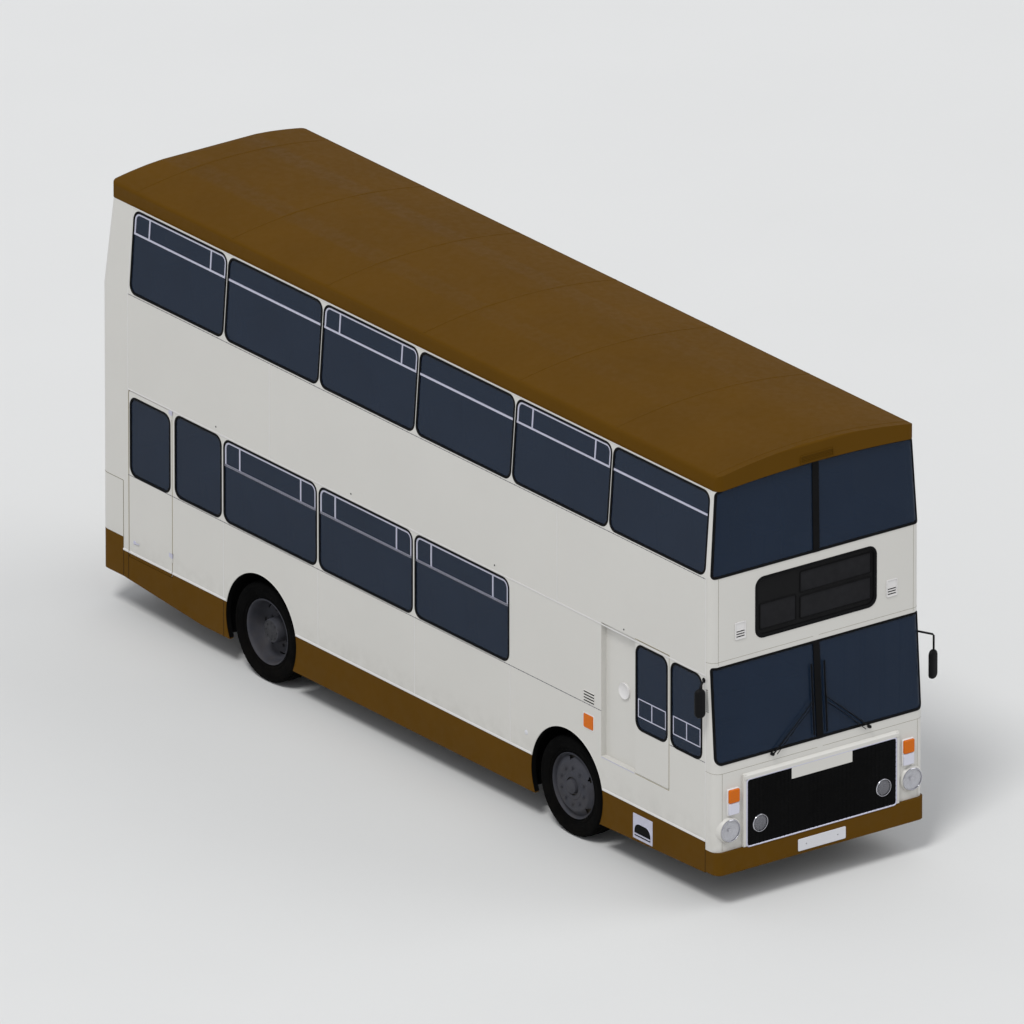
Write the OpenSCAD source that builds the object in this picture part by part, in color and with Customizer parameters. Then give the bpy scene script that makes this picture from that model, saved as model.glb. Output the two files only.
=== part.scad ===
// Double decker bus with a front engine: hollow body of two decks on a ladder frame.
// Front faces -Y, offside (driver's side) is -X, Z is up, and the origin is on the
// ground under the middle of the body.

/* [Body] */
// Overall length, bumper to bumper
body_l = 9990; // [8500:10:12000]
// Overall width over the side panels
body_w = 2520; // [2300:10:2600]
// Height of the roof's crown above the ground
roof_h = 4540; // [4440:5:4700]
// Thickness of the side, front and rear walls
wall_t = 50; // [35:1:58]
// Thickness of the roof
roof_t = 40; // [20:1:60]
// How far the upper deck's sides lean in at the cantrail
lean_in = 65; // [0:5:120]
// How far the upper deck's rear leans forward at the cantrail
rear_lean = 73; // [0:1:120]
// Radius of the body's corners in plan
corner_r = 85; // [65:1:105]
// How far the front between the decks lies behind the bumper
band_back = 110; // [90:1:150]
// How far the panel under the windscreen lies behind the bumper
dash_back = 40; // [20:1:80]

/* [Heights] */
// Bottom edge of the side skirts
skirt_z = 288; // [240:1:320]
// Top edge of the brown skirts
skirt_top_z = 667; // [620:1:720]
// Bottom edge of the front bumper
bumper_z = 360; // [330:1:400]
// Top edge of the front bumper
bumper_top_z = 590; // [540:1:640]
// Bottom edge of the rear bumper
rear_bumper_z = 393; // [350:1:430]
// Top edge of the rear bumper
rear_bumper_top_z = 807; // [700:1:900]
// Bottom edge of the lower deck's windows
lower_sill_z = 1510; // [1450:5:1560]
// Top edge of the lower deck's windows
lower_head_z = 2360; // [2300:5:2390]
// Where the lower and upper side panels meet
deck_z = 2425; // [2415:1:2450]
// Where the upper deck's sides start to lean in
waist_z = 3380; // [3340:5:3400]
// Bottom edge of the upper deck's windows
upper_sill_z = 3410; // [3405:1:3440]
// Top edge of the upper deck's windows
upper_head_z = 4250; // [4150:1:4260]
// Bottom edge of the roof
cant_z = 4280; // [4270:1:4300]
// Top of the lower deck's floor
lower_floor_z = 880; // [850:5:920]
// Top of the upper deck's floor
upper_floor_z = 2730; // [2700:5:2760]
// Top of the floor in the driver's cab
cab_floor_z = 1000; // [950:5:1010]
// Top of the entrance platform
step_z = 360; // [330:5:400]

/* [Windows] */
// Length of one full window bay
bay = 1552; // [1400:1:1600]
// Length of the post between two upper windows
upper_post = 35; // [25:1:120]
// Length of the post between two lower windows
lower_post = 47; // [35:1:120]
// Radius of the windows' corners
win_r = 90; // [40:5:120]
// Thickness of the glass
glass_t = 8; // [4:1:12]
// Gap between a pane and its rebate
glass_gap = 0.3; // [0.2:0.1:1]
// Width of the post in the middle of a windscreen
screen_post = 70; // [40:2:100]

/* [Wheels] */
// Distance between the axles
wheelbase = 4953; // [4500:1:5500]
// Distance of the front axle behind the front bumper
front_overhang = 2405; // [2380:5:2500]
// Outer radius of the tyres
tyre_r = 510; // [480:1:530]
// Width of one tyre
tyre_w = 280; // [250:1:290]
// Radius of the rims over their flanges
rim_r = 334; // [300:1:345]
// Distance from the body's centre plane to the middle of a front or outer rear tyre
track_x = 1075; // [1060:1:1085]
// Distance between the middles of twin tyres
twin_gap = 320; // [310:1:330]
// Distance from the centre plane to a kingpin
kingpin_x = 900; // [880:1:905]
// Radius of a kingpin
kingpin_r = 22; // [18:1:30]
// Radius of a front stub axle
stub_r = 40; // [30:1:45]
// Radius of a rear axle end
rear_stub_r = 60; // [45:1:70]
// Radial clearance of a running fit
running = 0.05; // [0.02:0.01:0.1]
// Radius of the wheel arch openings
arch_r = 577; // [560:1:600]
// Height of the wheel arch openings' centre
arch_z = 546; // [530:1:560]

/* [Doors] */
// Front edge of the entrance behind the front bumper
entrance_front = 355; // [330:5:400]
// Length of the entrance
entrance_l = 1270; // [1100:5:1290]
// Thickness of an entrance door leaf
leaf_t = 32; // [25:1:36]
// Front edge of the cab door behind the front bumper
cab_door_front = 780; // [770:1:800]
// Length of the cab door
cab_door_l = 543; // [500:1:560]
// Bottom edge of the cab door
cab_door_z = 1017; // [1015:1:1060]
// Top edge of the cab door
cab_door_top_z = 2400; // [2380:1:2405]
// Depth of the recess that the cab door slides into
recess_d = 62; // [60:1:70]
// Length of the emergency door
exit_l = 703; // [600:1:720]
// Gap around a door
door_gap = 7; // [5:1:9]
// Gap between a hinge's parts, or a runner and its ledge
hinge_gap = 0.3; // [0.2:0.1:1]

/* [Frame] */
// Height of a chassis rail
rail_h = 190; // [150:5:220]
// Width of a chassis rail
rail_w = 75; // [60:1:90]
// Distance from the centre plane to the middle of a rail
rail_x = 380; // [360:5:400]
// Radius of the towing eyes' bores
tow_r = 20; // [15:1:25]

/* [Hidden] */
$fn = 64;
half_w = body_w / 2;
front_y = -body_l / 2;
rear_y = body_l / 2;
in_x = half_w - wall_t;
front_axle_y = front_y + front_overhang;
rear_axle_y = front_axle_y + wheelbase;
band_y = front_y + band_back;
dash_y = front_y + dash_back;
bumper_y = front_y + 8;
corner_y = band_y + corner_r + 5;
rear_plane_y = rear_y - 10;
tail_y = rear_y - 378;
band_bot_z = 2468;
band_top_z = 3403;
dash_top_z = 1498;
roof_crown = 110;
roof_half_w = half_w - lean_in;
screen_top_z = 4330;
screen_inset = 6;
screen_lean = 20;
first_win_y = front_y + 220;
upper_win_l = bay - upper_post;
lower_bay = bay + 2;
lower_win_l = lower_bay - lower_post;
lower_first_y = first_win_y + 2 * bay + 19;
stair_y0 = lower_first_y - lower_bay + 3;

cab_door_y0 = front_y + cab_door_front;
cab_door_y1 = cab_door_y0 + cab_door_l;
recess_y1 = cab_door_y1 + cab_door_l - 6;
recess_t = 16;
cab_win_z = 1490;
quarter_y0 = front_y + 260;
quarter_y1 = cab_door_y0 - 33;
exit_y1 = rear_y - 473;
exit_y0 = exit_y1 - exit_l;
exit_z = 633;
exit_top_z = 2373;
entrance_y0 = front_y + entrance_front;
entrance_y1 = entrance_y0 + entrance_l;
entrance_top_z = 2340;

floor_t = 90;
upper_floor_t = 60;
rail_top_z = lower_floor_z - floor_t;
rail_z = rail_top_z - rail_h;
liner_front_r = 640;
liner_rear_r = 605;
liner_t = 12;
liner_in_x = 570;
cover_t = 25;
cover_x0 = -470;
cover_x1 = 190;
cover_z = 1400;
engine_x0 = -355;
engine_x1 = 85;
cabin_y = corner_y + 10;
platform_y = front_y + 1660;
stair_t = 25;
stair_in_x = -liner_in_x + 10;
stair_out_x = -half_w + recess_d + recess_t + 2;
riser = (upper_floor_z - lower_floor_z) / 9;
tread = 195;
stair_start_y = platform_y + 60;
stair_end_y = stair_start_y + 8 * tread;
well_y0 = stair_start_y - 60;
well_y1 = stair_end_y;
seat_in_x = 345;
seat_pitch = 740;
bead_w = tyre_w - 80;
seat_r = rim_r - 14;

cream = [0.86, 0.84, 0.78];
brown = [0.29, 0.19, 0.07];
black = [0.07, 0.07, 0.07];
glass = [0.13, 0.17, 0.21];
steel = [0.35, 0.36, 0.38];
grey = [0.55, 0.55, 0.55];
cloth = [0.35, 0.2, 0.12];
orange = [0.85, 0.4, 0.05];

// ---- outlines and tools ----

// Half width of the body at height z
function side_x(z) = half_w - max(0, z - waist_z) * lean_in / (cant_z - waist_z);
// How far the rear has leaned forward at height z
function rear_in(z) = max(0, z - waist_z) * rear_lean / (cant_z - waist_z);
// Plane of the front at height z, on the windscreens
function lower_screen_y(z) = dash_y + (band_y - dash_y) * (z - dash_top_z) / (band_bot_z - dash_top_z);
function upper_screen_y(z) = band_y + screen_lean * (z - band_top_z) / (screen_top_z - band_top_z);
// Bottom edge of the roof's front, arched over the windscreen
function brow_z(x) = cant_z + (screen_top_z - cant_z) * (1 - pow(x / roof_half_w, 2));
function roof_z(u, top) = top - roof_crown * u * u - (top - cant_z - roof_crown) * pow(abs(u), 160);

// Plan path of a corner, from [x0, front] to [w, end], with radius r
function corner_path(x0, w, front, end, r, n = 6) = concat([[x0, front]],
    [for (k = [n:-1:0]) [w - r + r * cos(90 * k / n), front + r - r * sin(90 * k / n)]], [[w, end]]);
function both(path) = concat([for (k = [len(path) - 1:-1:0]) [-path[k].x, path[k].y]], path);

// Outline with round corners, in the first two axes
module rounded(x0, y0, x1, y1, r) {
    translate([x0 + r, y0]) square([x1 - x0 - 2 * r, y1 - y0]);
    translate([x0, y0 + r]) square([x1 - x0, y1 - y0 - 2 * r]);
    for (x = [x0 + r, x1 - r], y = [y0 + r, y1 - r]) translate([x, y]) circle(r, $fn = 32);
}

// Turns a [y, z] outline into a plate from x0 to x1
module side_plate(x0, x1) {
    translate([x0, 0, 0]) rotate([90, 0, 90]) linear_extrude(x1 - x0) children();
}

// Turns an [x, z] outline into a plate from y0 to y1
module cross_plate(y0, y1) {
    translate([0, y1, 0]) rotate([90, 0, 0]) linear_extrude(y1 - y0) children();
}

module box(x0, x1, y0, y1, z0, z1) {
    translate([x0, y0, z0]) cube([x1 - x0, y1 - y0, z1 - z0]);
}

module rod(p, q, r) {
    v = q - p;
    translate(p) rotate([0, acos(v.z / norm(v)), atan2(v.y, v.x)]) cylinder(h = norm(v), r = r, $fn = 24);
}

// Cylinder along X from x0 to x1
module shaft(x0, x1, y, z, r) {
    translate([x0, y, z]) rotate([0, 90, 0]) cylinder(h = x1 - x0, r = r);
}

// Upright hinge barrel
module barrel(x, y, z0, z1, r) {
    translate([x, y, z0]) cylinder(h = z1 - z0, r = r);
}

// Wall between outer and inner plan paths, through levels of [z, outer path, inner path].
// A path's point may have a height of its own.
module strip(levels) {
    n = len(levels[0][1]);
    m = len(levels) - 1;
    points = [for (l = levels, p = concat(l[1], l[2])) [p.x, p.y, len(p) == 3 ? p.z : l[0]]];
    quads = concat(
        [for (k = [0:n - 2]) [k, k + 1, n + k + 1, n + k]],
        [for (k = [0:n - 2]) let (t = 2 * n * m) [t + k, t + n + k, t + n + k + 1, t + k + 1]],
        [for (j = [0:m - 1], k = [0:n - 2]) let (a = 2 * n * j, b = a + 2 * n) [a + k, b + k, b + k + 1, a + k + 1]],
        [for (j = [0:m - 1], k = [0:n - 2]) let (a = 2 * n * j + n, b = a + 2 * n)
            [a + k, a + k + 1, b + k + 1, b + k]],
        [for (j = [0:m - 1]) let (a = 2 * n * j, b = a + 2 * n) [a, a + n, b + n, b]],
        [for (j = [0:m - 1]) let (a = 2 * n * j + n - 1, b = a + 2 * n) [a, b, b + n, a + n]]);
    polyhedron(points, [for (q = quads, f = [[q[0], q[1], q[2]], [q[0], q[2], q[3]]]) f]);
}

// One level of a wall that wraps both corners: half width w, front plane y, thickness t
function wrap(z, w, y, end, r, t) = [z, both(corner_path(screen_post / 2, w, y, end, r)),
    both(corner_path(screen_post / 2, w - t, y + t, end, max(1, r - t)))];

// Places a rear wall's pieces, which are drawn facing the front
module facing_rear() {
    mirror([0, 1, 0]) children();
}

// ---- openings ----

module wheel_cuts() {
    for (y = [front_axle_y, rear_axle_y]) shaft(-half_w - 1, half_w + 1, y, arch_z, arch_r);
}

function upper_windows() = [for (k = [0:5]) [first_win_y + k * bay, first_win_y + k * bay + upper_win_l]];
function main_windows() = [for (k = [0:2]) [lower_first_y + k * lower_bay,
    lower_first_y + k * lower_bay + lower_win_l]];
function offside_windows() = concat(main_windows(),
    [[lower_first_y + 3 * lower_bay, exit_y0 - 57]]);
function nearside_windows() = concat([[stair_y0, lower_first_y - lower_post]], main_windows(),
    [[lower_first_y + 3 * lower_bay, lower_first_y + 4 * lower_bay - lower_post - 10]]);

// Outline of a window from y0 to y1, made smaller by inset
module window_shape(y0, y1, z0, z1, inset = 0) {
    rounded(y0 + inset, z0 + inset, y1 - inset, z1 - inset, win_r - inset);
}

module quarter_shape(inset = 0) {
    window_shape(quarter_y0, quarter_y1, cab_win_z, lower_head_z, inset);
}

// ---- sides ----

module lower_wall_shape() {
    translate([corner_y, skirt_top_z]) square([tail_y - corner_y, deck_z - skirt_top_z]);
}

exit_hinge_y = exit_y0 - door_gap / 2;
exit_hinge_x = -half_w - 4;
exit_hinges = [790, 2290];
hinge_r = 10;
hinge_h = 45;

module offside_lower_side() {
    color(cream) difference() {
        union() {
            difference() {
                side_plate(-half_w, -in_x) lower_wall_shape();
                side_plate(-half_w - 1, -in_x + 1) {
                    for (w = offside_windows()) window_shape(w[0], w[1], lower_sill_z, lower_head_z);
                    quarter_shape();
                    translate([cab_door_y0, cab_door_z])
                        square([recess_y1 - cab_door_y0, cab_door_top_z + door_gap - cab_door_z]);
                    translate([exit_y0 - door_gap, skirt_top_z - 1])
                        square([exit_l + 2 * door_gap, exit_top_z + door_gap - skirt_top_z + 1]);
                }
            }
            // recess that takes the open cab door
            difference() {
                box(-in_x - 5, -half_w + recess_d + recess_t, cab_door_y1 + 2, recess_y1 + recess_t,
                    cab_door_z - recess_t, cab_door_top_z + door_gap + recess_t / 2);
                box(-half_w - 1, -half_w + recess_d, cab_door_y1 + 1, recess_y1, cab_door_z,
                    cab_door_top_z + door_gap);
            }
            for (z = exit_hinges) barrel(exit_hinge_x, exit_hinge_y, z, z + hinge_h, hinge_r);
        }
        wheel_cuts();
        for (z = exit_hinges) barrel(exit_hinge_x, exit_hinge_y, z + hinge_h, z + 2 * hinge_h + 5, hinge_r + 5);
    }
}

module nearside_lower_side() {
    color(cream) difference() {
        side_plate(in_x, half_w) lower_wall_shape();
        side_plate(in_x - 1, half_w + 1) {
            for (w = nearside_windows()) window_shape(w[0], w[1], lower_sill_z, lower_head_z);
            translate([entrance_y0, skirt_top_z - 1]) square([entrance_l, entrance_top_z - skirt_top_z + 1]);
        }
        wheel_cuts();
    }
}

// Section of an upper side wall that stands on +X, between two depths from its outer face
module upper_section(d0, d1, z0 = deck_z, z1 = cant_z) {
    polygon([[side_x(z0) - d1, z0], [side_x(z0) - d0, z0], [half_w - d0, waist_z], [side_x(z1) - d0, z1],
        [side_x(z1) - d1, z1], [half_w - d1, waist_z]]);
}

module upper_side() {
    difference() {
        cross_plate(corner_y, tail_y) upper_section(0, wall_t);
        side_plate(roof_half_w - wall_t - 1, half_w + 1)
            for (w = upper_windows()) window_shape(w[0], w[1], upper_sill_z, upper_head_z);
    }
}

module offside_upper_side() {
    color(cream) mirror([1, 0, 0]) upper_side();
}

module nearside_upper_side() {
    color(cream) upper_side();
}

module skirt_shape() {
    polygon([[corner_y, bumper_z - 12], [front_axle_y - arch_r, skirt_z + 15], [front_axle_y + arch_r, skirt_z],
        [rear_axle_y + arch_r + 400, skirt_z], [tail_y, rear_bumper_z], [tail_y, skirt_top_z],
        [corner_y, skirt_top_z]]);
}

module side_skirts() {
    color(brown) difference() {
        union() {
            side_plate(-half_w, -in_x) skirt_shape();
            side_plate(in_x, half_w) skirt_shape();
        }
        wheel_cuts();
        box(in_x - 1, half_w + 1, entrance_y0, entrance_y1, step_z, skirt_top_z + 1);
        box(-half_w - 1, -in_x + 1, exit_y0 - door_gap, exit_y1 + door_gap, exit_z - door_gap, skirt_top_z + 1);
    }
}

// ---- roof ----

roof_front_y = band_y - 5;

// Roof's section, with half width w, crown height top and bottom z0
module roof_section(w, top, z0) {
    polygon(concat([for (k = [-24:24]) let (u = sign(k) * (1 - pow(1 - abs(k) / 24, 3))) [w * u, roof_z(u, top)]],
        [[w, z0], [-w, z0]]));
}

// Solid under the roof's skin, with all faces in by t
module roof_block(t, z0) {
    y0 = roof_front_y + t;
    y1 = rear_plane_y - rear_lean - t;
    top = roof_h - t;
    intersection() {
        cross_plate(y0, y1) roof_section(roof_half_w - t, top, z0);
        side_plate(-half_w, half_w) polygon([[y0, z0], [y0, top - 24], [y0 + 5, top - 12], [y0 + 16, top - 3],
            [y0 + 40, top], [y1 - 160, top], [y1 - 50, top - 8], [y1 - 16, top - 24], [y1 - 4, top - 42],
            [y1, top - 70], [y1, z0]]);
        translate([0, 0, z0]) linear_extrude(roof_h - z0)
            rounded(-roof_half_w + t, y0, roof_half_w - t, y1, corner_r - t + 5);
    }
}

module roof() {
    color(brown) difference() {
        roof_block(0, cant_z);
        roof_block(roof_t, cant_z - 1);
        cross_plate(roof_front_y - 1, corner_y)
            polygon(concat([for (k = [-12:12]) let (x = roof_half_w * k / 12) [x, brow_z(x)]],
                [[roof_half_w, cant_z - 1], [-roof_half_w, cant_z - 1]]));
    }
}

// ---- front ----

dest_x = 722;
dest_z0 = 2671;
dest_z1 = 3283;

module front_moulding() {
    color(cream) {
        difference() {
            strip([wrap(band_bot_z, half_w, band_y, corner_y, corner_r, wall_t),
                   wrap(band_top_z, side_x(band_top_z), band_y, corner_y, corner_r, wall_t)]);
            cross_plate(band_y - 1, band_y + wall_t + 1) rounded(-dest_x, dest_z0, dest_x, dest_z1, win_r);
        }
        side_plate(-screen_post / 2, screen_post / 2) {
            polygon([[dash_y - 3, dash_top_z], [dash_y + wall_t, dash_top_z], [band_y + wall_t, band_bot_z + 1],
                [band_y - 3, band_bot_z + 1]]);
            polygon([[band_y - 2, band_top_z - 1], [band_y + wall_t, band_top_z - 1],
                [upper_screen_y(screen_top_z) + wall_t, screen_top_z - 1],
                [upper_screen_y(screen_top_z) - 2, screen_top_z - 1]]);
        }
    }
}

grille_x = 900;
grille_top_z = 1283;

module front_lower_panel() {
    color(cream) difference() {
        strip([wrap(bumper_top_z, half_w, dash_y, corner_y, corner_r, wall_t),
               wrap(dash_top_z, half_w, dash_y, corner_y, corner_r, wall_t)]);
        box(-grille_x, grille_x, dash_y - 1, dash_y + wall_t + 1, bumper_top_z - 1, grille_top_z);
    }
}

module radiator_grille() {
    color(black) difference() {
        box(-grille_x, grille_x, front_y + 10, dash_y + wall_t, bumper_top_z, grille_top_z);
        // row of air slots, which the mesh covers
        for (k = [-3:3]) box(k * 250 - 100, k * 250 + 100, front_y, dash_y + wall_t + 1,
            bumper_top_z + 330, grille_top_z - 180);
    }
}

plate_x = 287;
plate_z0 = 391;
plate_z1 = 515;

module front_bumper() {
    color(brown) strip([wrap(bumper_z, half_w, bumper_y, corner_y, corner_r, wall_t),
                        wrap(bumper_top_z, half_w, bumper_y, corner_y, corner_r, wall_t)]);
}

module windscreens() {
    color(glass) {
        for (m = [0, 1]) mirror([m, 0, 0]) {
            strip([screen_level(dash_top_z, half_w, dash_y), screen_level(band_bot_z, half_w, band_y)]);
            strip([screen_level(band_top_z, side_x(band_top_z), band_y),
                   under_brow(screen_level(screen_top_z, roof_half_w, upper_screen_y(screen_top_z)))]);
        }
    }
}

// Plan path of a half windscreen, with points along its front for the arched top
function screen_path(x0, w, front, r) = let (x1 = w - r)
    concat([for (k = [0:7]) [x0 + (x1 - x0) * k / 8, front]], slice(corner_path(x0, w, front, corner_y, r)));
function slice(path) = [for (k = [1:len(path) - 1]) path[k]];

// One level of a half windscreen, set in by screen_inset from the body's faces
function screen_level(z, w, y) = let (d = screen_inset, x0 = screen_post / 2 + glass_gap,
    r = min(corner_r, corner_y - y - 1) - d)
    [z, screen_path(x0, w - d, y + d, r),
     screen_path(x0, w - d - glass_t, y + d + glass_t, r - glass_t)];

// The same level with its points raised to the brow
function raised(path) = [for (p = path) [p.x, p.y, brow_z(p.x) - glass_gap]];
function under_brow(level) = [level[0], raised(level[1]), raised(level[2])];

module destination_box() {
    d = glass_gap;
    color(black) {
        difference() {
            cross_plate(band_y + 4, band_y + 250)
                rounded(-dest_x + d, dest_z0 + d, dest_x - d, dest_z1 - d, win_r - d);
            cross_plate(band_y + 3, band_y + 240) rounded(-dest_x + 25, dest_z0 + 25, dest_x - 25, dest_z1 - 25, 65);
        }
        cross_plate(band_y + 12, band_y + 12 + glass_t)
            rounded(-dest_x + 25 + d, dest_z0 + 25 + d, dest_x - 25 - d, dest_z1 - 25 - d, 65 - d);
    }
}

// ---- rear ----

rear_win_x = 850;
exit_win_x = 560;
exit_win_z0 = 60;                // heights along the leaning rear, from the waist
exit_win_z1 = 830;
rear_a = atan(rear_lean / (cant_z - waist_z));
exit_hinge_up = exit_win_z1 + door_gap / 2;
exit_hinge_out = 4;

// Stands the upper rear's pieces, drawn with the skin at y = 0 and the waist at z = 0
module on_upper_rear() {
    translate([0, rear_plane_y, waist_z]) rotate([rear_a, 0, 0]) children();
}

module rear_panel() {
    color(cream) {
        difference() {
            facing_rear() strip([for (z = [rear_bumper_top_z, waist_z, cant_z])
                wrap(z, side_x(z), -rear_plane_y + rear_in(z), -tail_y, rear_corner_r, wall_t)]);
            cross_plate(rear_plane_y - wall_t - 1, rear_plane_y + 1)
                rounded(-rear_win_x, lower_sill_z, rear_win_x, lower_head_z, win_r);
            on_upper_rear() {
                box(-exit_win_x - door_gap, exit_win_x + door_gap, -wall_t - 15, 15, exit_win_z0 - door_gap,
                    exit_win_z1 + door_gap);
                for (x = [-350, 350]) shaft(x - hinge_gap, x + hinge_h + door_gap, exit_hinge_out, exit_hinge_up,
                    hinge_r + 5);
            }
        }
        on_upper_rear() for (x = [-350, 350])
            difference() {
                shaft(x - hinge_h, x - hinge_gap, exit_hinge_out, exit_hinge_up, hinge_r);
                box(x - hinge_h - 1, x, -wall_t, 0, exit_win_z1 - 20, exit_win_z1 + 2);
            }
    }
}

module rear_bumper() {
    color(brown) facing_rear() strip([for (z = [rear_bumper_z, rear_bumper_top_z])
        wrap(z, half_w, -rear_plane_y, -tail_y, rear_corner_r, wall_t)]);
}

module rear_exit_window() {
    color(cream) on_upper_rear() {
        difference() {
            box(-exit_win_x, exit_win_x, -wall_t + 10, 0, exit_win_z0, exit_win_z1);
            cross_plate(-wall_t, 1) rounded(-exit_win_x + 35, exit_win_z0 + 35, exit_win_x - 35, exit_win_z1 - 35, win_r);
            for (x = [-350, 350]) shaft(x - hinge_h - door_gap, x, exit_hinge_out, exit_hinge_up, hinge_r + 5);
        }
        for (x = [-350, 350]) shaft(x, x + hinge_h, exit_hinge_out, exit_hinge_up, hinge_r);
        color(glass) cross_plate(-20, -20 + glass_t)
            rounded(-exit_win_x + 35 + glass_gap, exit_win_z0 + 35 + glass_gap, exit_win_x - 35 - glass_gap,
                exit_win_z1 - 35 - glass_gap, win_r - glass_gap);
    }
}

// ---- windows ----

module lower_pane(x, w) {
    side_plate(x, x + glass_t) window_shape(w[0], w[1], lower_sill_z, lower_head_z, glass_gap);
}

module upper_panes() {
    for (w = upper_windows()) intersection() {
        cross_plate(w[0], w[1]) upper_section(6, 6 + glass_t);
        side_plate(roof_half_w - wall_t, half_w) window_shape(w[0], w[1], upper_sill_z, upper_head_z, glass_gap);
    }
}

module saloon_windows() {
    color(glass) {
        upper_panes();
        mirror([1, 0, 0]) upper_panes();
        for (w = offside_windows()) lower_pane(-half_w + 6, w);
        for (w = nearside_windows()) lower_pane(half_w - 6 - glass_t, w);
        side_plate(-half_w + 6, -half_w + 6 + glass_t) quarter_shape(glass_gap);
        cross_plate(rear_plane_y - 6 - glass_t, rear_plane_y - 6) rounded(-rear_win_x + glass_gap,
            lower_sill_z + glass_gap, rear_win_x - glass_gap, lower_head_z - glass_gap, win_r - glass_gap);
    }
}

// ---- lamps, plates and fittings ----

lamp_z = 803;
head_x = 1098;
fog_x = 744;

// Round lamp on the front that reaches from plane y back to the panel
module round_lamp(x, z, r, y, back) {
    translate([x, back, z]) rotate([90, 0, 0]) cylinder(h = back - y, r = r);
}

module lamps() {
    color(grey) {
        for (s = [-1, 1]) {
            round_lamp(s * head_x, lamp_z, 122, front_y, dash_y);
            round_lamp(s * fog_x, lamp_z, 94, front_y, front_y + 10);
        }
    }
    color(orange) {
        for (s = [-1, 1]) box(s * 1050 - 80, s * 1050 + 80, dash_y - 30, dash_y, 970, 1240);
        box(-half_w - 10, -half_w, front_axle_y - 425, front_axle_y - 265, 1233, 1383);
        box(half_w, half_w + 10, front_axle_y - 425, front_axle_y - 265, 1233, 1383);
        for (s = [-1, 1]) box(s * 1080 - 70, s * 1080 + 70, rear_plane_y, rear_plane_y + 10, 900, 1340);
    }
}

module number_plates() {
    color(grey) {
        box(-plate_x, plate_x, front_y + 2, bumper_y, plate_z0, plate_z1);
        box(-plate_x, plate_x, rear_plane_y, rear_plane_y + 6, rear_bumper_top_z + 60, rear_bumper_top_z + 184);
    }
}

mirror_w = 110;
mirror_turn = 15;

// Mirror on an arm: elbow is the arm's outer end, and the head hangs drop below it, turned to the driver
module one_mirror(side, elbow, drop) {
    rod([side * (half_w - 15), corner_y + 25, elbow.z + 10], elbow, 11);
    translate(elbow) sphere(14, $fn = 24);
    rod(elbow, elbow - [0, 0, drop], 11);
    translate(elbow - [0, 0, drop]) rotate([0, 0, side * mirror_turn])
        box(-mirror_w / 2, mirror_w / 2, -22, 22, -150, 150);
}

module mirrors() {
    color(black) difference() {
        union() {
            one_mirror(-1, [-half_w - 111, front_y + 136, 2322], 180);
            one_mirror(1, [half_w + 111, front_y + 40, 2230], 310);
        }
        // arms end on the sides of the body
        box(-half_w, half_w, front_y + 80, corner_y + 100, 2000, 2500);
    }
}

wiper_x = 585;

module wipers() {
    color(black) for (s = [-1, 1]) {
        pivot = [s * wiper_x, dash_y - 26, dash_top_z - 28];
        tip = [s * 75, lower_screen_y(1900) - 30, 1900];
        round_lamp(pivot.x, pivot.z, 16, dash_y - 36, dash_y);
        rod(pivot, tip, 6);
        rod([pivot.x - s * 40, pivot.y, pivot.z + 6], [tip.x, tip.y, tip.z - 60], 5);
        rod([pivot.x, pivot.y, pivot.z], [pivot.x - s * 40, pivot.y, pivot.z + 6], 6);
        rod([tip.x, lower_screen_y(1540) - 30, 1540], [tip.x, lower_screen_y(2260) - 30, 2260], 12);
    }
}

// ---- inside ----

module liner(y, r) {
    intersection() {
        union() {
            difference() {
                shaft(liner_in_x, in_x, y, arch_z, r + liner_t);
                shaft(liner_in_x - 1, in_x + 1, y, arch_z, r);
            }
            intersection() {
                shaft(liner_in_x, liner_in_x + liner_t, y, arch_z, r + 1);
                box(0, half_w, y - r, y + r, rail_top_z, deck_z);
            }
        }
        box(0, half_w, y - 2 * r, y + 2 * r, arch_z, deck_z);
    }
}

module wheel_arches() {
    color(black) for (m = [0, 1]) mirror([m, 0, 0]) {
        liner(front_axle_y, liner_front_r);
        liner(rear_axle_y, liner_rear_r);
    }
}

floor_rear_y = rear_plane_y - wall_t;
rear_corner_r = corner_r + 15;

// Floor plate across the body from y0 to the rear wall, with its rear corners cut off
module floor_plate(y0, z0, z1) {
    c = rear_corner_r - wall_t;
    translate([0, 0, z0]) linear_extrude(z1 - z0) polygon([[-in_x, y0], [in_x, y0], [in_x, floor_rear_y - c],
        [in_x - c, floor_rear_y], [-in_x + c, floor_rear_y], [-in_x, floor_rear_y - c]]);
}

module lower_deck_floor() {
    color(grey) difference() {
        union() {
            floor_plate(platform_y, rail_top_z, lower_floor_z);
            box(cover_x1, in_x, cabin_y, platform_y + 40, step_z - 30, step_z);
            box(cover_x1, in_x, platform_y, platform_y + 40, step_z - 30, lower_floor_z);
            box(cover_x1, in_x - 330, platform_y - 260, platform_y, step_z - 30, (step_z + lower_floor_z) / 2);
        }
        for (m = [0, 1]) mirror([m, 0, 0]) {
            shaft(liner_in_x - glass_gap, in_x + 1, front_axle_y, arch_z, liner_front_r + liner_t + glass_gap);
            shaft(liner_in_x - glass_gap, in_x + 1, rear_axle_y, arch_z, liner_rear_r + liner_t + glass_gap);
        }
        // room behind the emergency door
        box(-in_x - 1, -in_x + door_gap, exit_y0 - door_gap, exit_y1 + door_gap, rail_top_z - 1, lower_floor_z + 1);
    }
}

module upper_deck_floor() {
    color(grey) difference() {
        floor_plate(cabin_y, upper_floor_z - upper_floor_t, upper_floor_z);
        box(-in_x - 1, stair_in_x + stair_t + glass_gap, well_y0, well_y1, upper_floor_z - upper_floor_t - 1,
            upper_floor_z + 1);
        box(-dest_x - 20, dest_x + 20, cabin_y - 1, band_y + 260, upper_floor_z - upper_floor_t - 1,
            upper_floor_z + 1);
    }
}

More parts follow.
